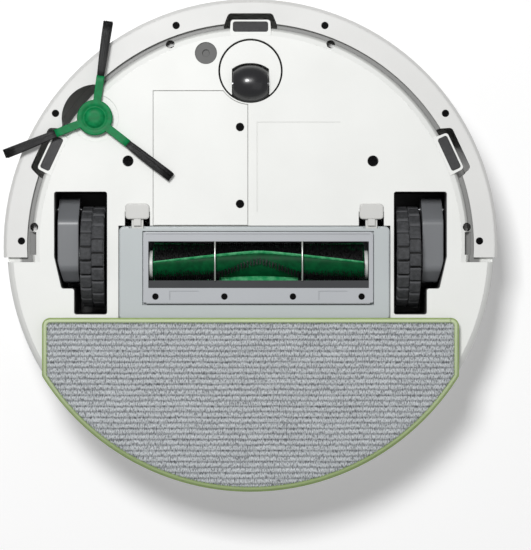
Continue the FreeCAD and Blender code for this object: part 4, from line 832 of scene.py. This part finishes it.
def make_cloth():
    """Rows across the robot, each a flat loop: a ribbed underside and a plain back. Along y the
    underside rises and falls as the root of a sine, once each rib, and it tucks up at the edges."""
    inset = TAPE_WIDE * 0.55
    rows = 470
    y = np.linspace(PAD_FRONT + inset + 1e-5, PAD_RADIUS - inset - 0.00012, rows)
    share = np.linspace(-1, 1, 190)
    half = pad_half_width(y, inset)
    x = share[None, :] * half[:, None]
    wave = 0.00009 * np.sin(x * 95) + 0.00007 * np.sin(x * 213 + y[:, None] * 40)
    phase = (y[:, None] + wave) / RIB_PITCH
    ridge = np.abs(np.sin(np.pi * phase)) ** 0.6
    grain = 0.08 * np.sin(x * 3300 + 3 * np.sin(y[:, None] * 900)) * ridge
    edge = np.minimum(half[:, None] - np.abs(x), (y - y[0])[:, None])
    edge = np.minimum(edge, PAD_RADIUS - inset - np.hypot(x, y[:, None]))
    tuck = np.exp(-np.maximum(edge, 0) / 0.0016)
    z = RIB_ROOT - RIB_DEEP * (ridge + grain) * (1 - tuck) + 0.0003 * tuck
    lower = np.stack([x, np.broadcast_to(y[:, None], x.shape), z], -1)
    upper = lower[:, ::-1].copy()
    upper[..., 2] = PAD_TOP - 0.0004
    return np.concatenate([lower, upper[:, ::9]], 1)


def microfibre():
    """Looped pile: painted light that makes the crests pale and painted shade that makes the valleys
    greyer, cross loops along each rib, and dark flecks where the backing shows between loops."""
    material, shader, place = new_paint("microfibre")
    z = place.node("ShaderNodeSeparateXYZ", inputs={0: place}, out=2)
    painted_crest_light = ((RIB_ROOT - z) / RIB_DEEP).limited()

    def streaks(across, along, detail, roughness):
        """Noise drawn out towards the pad's rear, with these many features in a metre each way."""
        stretch = (across, along, 0.0)
        drawn = place.node("ShaderNodeVectorMath", {"operation": "MULTIPLY"}, {0: place, 1: stretch})
        return noise(drawn, 1.0, detail, roughness)

    loops = streaks(2300.0, 640.0, 3.0, 0.6)
    flecks = streaks(1250.0, 400.0, 2.0, 0.5)
    fleck = ((flecks - 0.53) * 12.0).limited() * (1.0 - painted_crest_light * 0.25)
    patches = noise(place, 60, 2.0)
    # Painted light and shade: paler on the ribs' crests, greyer in the valleys.
    tone = (painted_crest_light * 0.6 + (loops - 0.5) * 3.2 + (patches - 0.5) * 0.3 + 0.2).limited()
    cloth = tone.mixed(rgb(116, 120, 124), rgb(210, 214, 217))
    connect(
        shader,
        Base_Color=(fleck * 0.8).mixed(cloth, rgb(62, 65, 69)),
        Roughness=0.9 + loops * 0.1,
        Normal=bump(place, loops, 0.0005),
        Sheen_Weight=0.25,
    )
    return material


cloth = make_cloth()
pad = put_mesh("mop_cloth", cloth, closed_rows(cloth), microfibre(), "mop", ["mop_pad"])


def pad_outline(inset, spacing):
    """Evenly spaced points round the pad, drawn in by inset: a straight front with round corners,
    straight sides, and a rear arc about the robot's middle. Also the outward direction at each."""
    half, radius, r = PAD_HALF - inset, PAD_RADIUS - inset, CORNER - inset
    front = PAD_FRONT + inset
    meet = math.asin(half / radius)
    runs = []
    turn = np.linspace(-np.pi / 2, 0, 24)
    runs.append(np.column_stack([half - r + r * np.cos(turn), front + r + r * np.sin(turn)]))
    turn = np.linspace(meet, -meet, 240)
    runs.append(np.column_stack([radius * np.sin(turn), radius * np.cos(turn)]))
    turn = np.linspace(np.pi, 1.5 * np.pi, 24)
    runs.append(np.column_stack([-half + r + r * np.cos(turn), front + r + r * np.sin(turn)]))
    line = np.vstack([*runs, runs[0][:1]])
    steps = np.hypot(*np.diff(line, axis=0).T)
    run = np.concatenate([[0], np.cumsum(steps)])
    count = int(run[-1] / spacing)
    at = np.linspace(0, run[-1], count, endpoint=False)
    points = np.column_stack([np.interp(at, run, line[:, k]) for k in (0, 1)])
    ahead = np.roll(points, -1, 0) - np.roll(points, 1, 0)
    ahead /= np.linalg.norm(ahead, axis=1, keepdims=True)
    return points, np.column_stack([ahead[:, 1], -ahead[:, 0]]), at


def tape(name, inset, half_wide, low, high, colour, lit):
    """A soft band round the pad: a rounded section carried along the outline, its skin rippled by
    a fine slanting weave, with painted shade that darkens it towards the pad's rear."""
    points, outward, run = pad_outline(inset, 0.0009)
    turn = np.linspace(0, 2 * np.pi, 20, endpoint=False)
    sideways = np.sign(np.cos(turn)) * np.abs(np.cos(turn)) ** 0.7 * half_wide
    height = (low + high) / 2 + np.sign(np.sin(turn)) * np.abs(np.sin(turn)) ** 0.7 * (high - low) / 2
    plan = points[:, None] + outward[:, None] * sideways[None, :, None]
    solid = np.concatenate([plan, np.broadcast_to(height[None, :, None], (*plan.shape[:2], 1))], -1)
    uv = np.stack(np.broadcast_arrays(run[:, None] * 1000, turn[None, :] * 1.2), -1)
    material, shader, place = new_paint(name)
    surface = Wire(place.tree, place.tree.nodes.new("ShaderNodeUVMap").outputs["UV"])
    weave = place.node(
        "ShaderNodeTexWave",
        {"wave_type": "BANDS", "bands_direction": "DIAGONAL"},
        {"Vector": surface, "Scale": 0.55, "Distortion": 0.6, "Detail": 1.0},
    )
    cloud = noise(place, 90, 3.0)
    # Painted shade: the tape turns an olive towards the pad's rear arc.
    back = ((place.node("ShaderNodeSeparateXYZ", inputs={0: place}, out=1) - PAD_FRONT) / 0.09).limited()
    woven = (weave * 0.5 + cloud * 0.5).limited().mixed(colour, lit)
    connect(
        shader,
        Base_Color=(back * 0.75).mixed(woven, rgb(126, 148, 86)),
        Roughness=0.85 + cloud * 0.1,
        Normal=bump(place, weave, 0.00015),
        Sheen_Weight=0.2,
    )
    return put_mesh(name, solid, grid_faces(*solid.shape[:2], True, True), material, "mop", uv=uv)


tape("binding_tape", 0.0021, 0.00125, 0.0003, PAD_TOP, rgb(188, 204, 156), rgb(212, 223, 190))
# The outer band's darker olive is painted shade, where the bead's outer half curves away from the light.
tape("binding_edge", 0.0006, 0.0006, 0.0011, PAD_TOP, rgb(140, 164, 96), rgb(168, 188, 124))


def make_stitches():
    """A run of short threads along the tape's inner edge, each a little ball stretched lengthways."""
    points, outward, run = pad_outline(0.0035, 0.0026)
    ahead = np.column_stack([-outward[:, 1], outward[:, 0]])
    down = np.linspace(0.15, np.pi - 0.15, 5)
    around = np.linspace(0, 2 * np.pi, 6, endpoint=False)
    v, u = np.meshgrid(down, around, indexing="ij")
    long = np.cos(v) * 0.00085
    wide = np.sin(v) * np.cos(u) * 0.0002
    tall = np.sin(v) * np.sin(u) * 0.0002
    plan = points[:, None, None] + ahead[:, None, None] * long[None, ..., None]
    plan = plan + outward[:, None, None] * wide[None, ..., None]
    z = np.broadcast_to((0.0007 + tall)[None, ..., None], (*plan.shape[:3], 1))
    solid = np.concatenate([plan, z], -1)
    faces = []
    for k in range(len(points)):
        base = k * v.size
        faces += [[f + base for f in face] for face in closed_rows(solid[k])]
    return solid, faces


stitches, stitch_faces = make_stitches()
thread = bristle("green_thread", rgb(120, 148, 72), rgb(170, 192, 120))
put_mesh("binding_stitches", stitches, stitch_faces, thread, "mop")
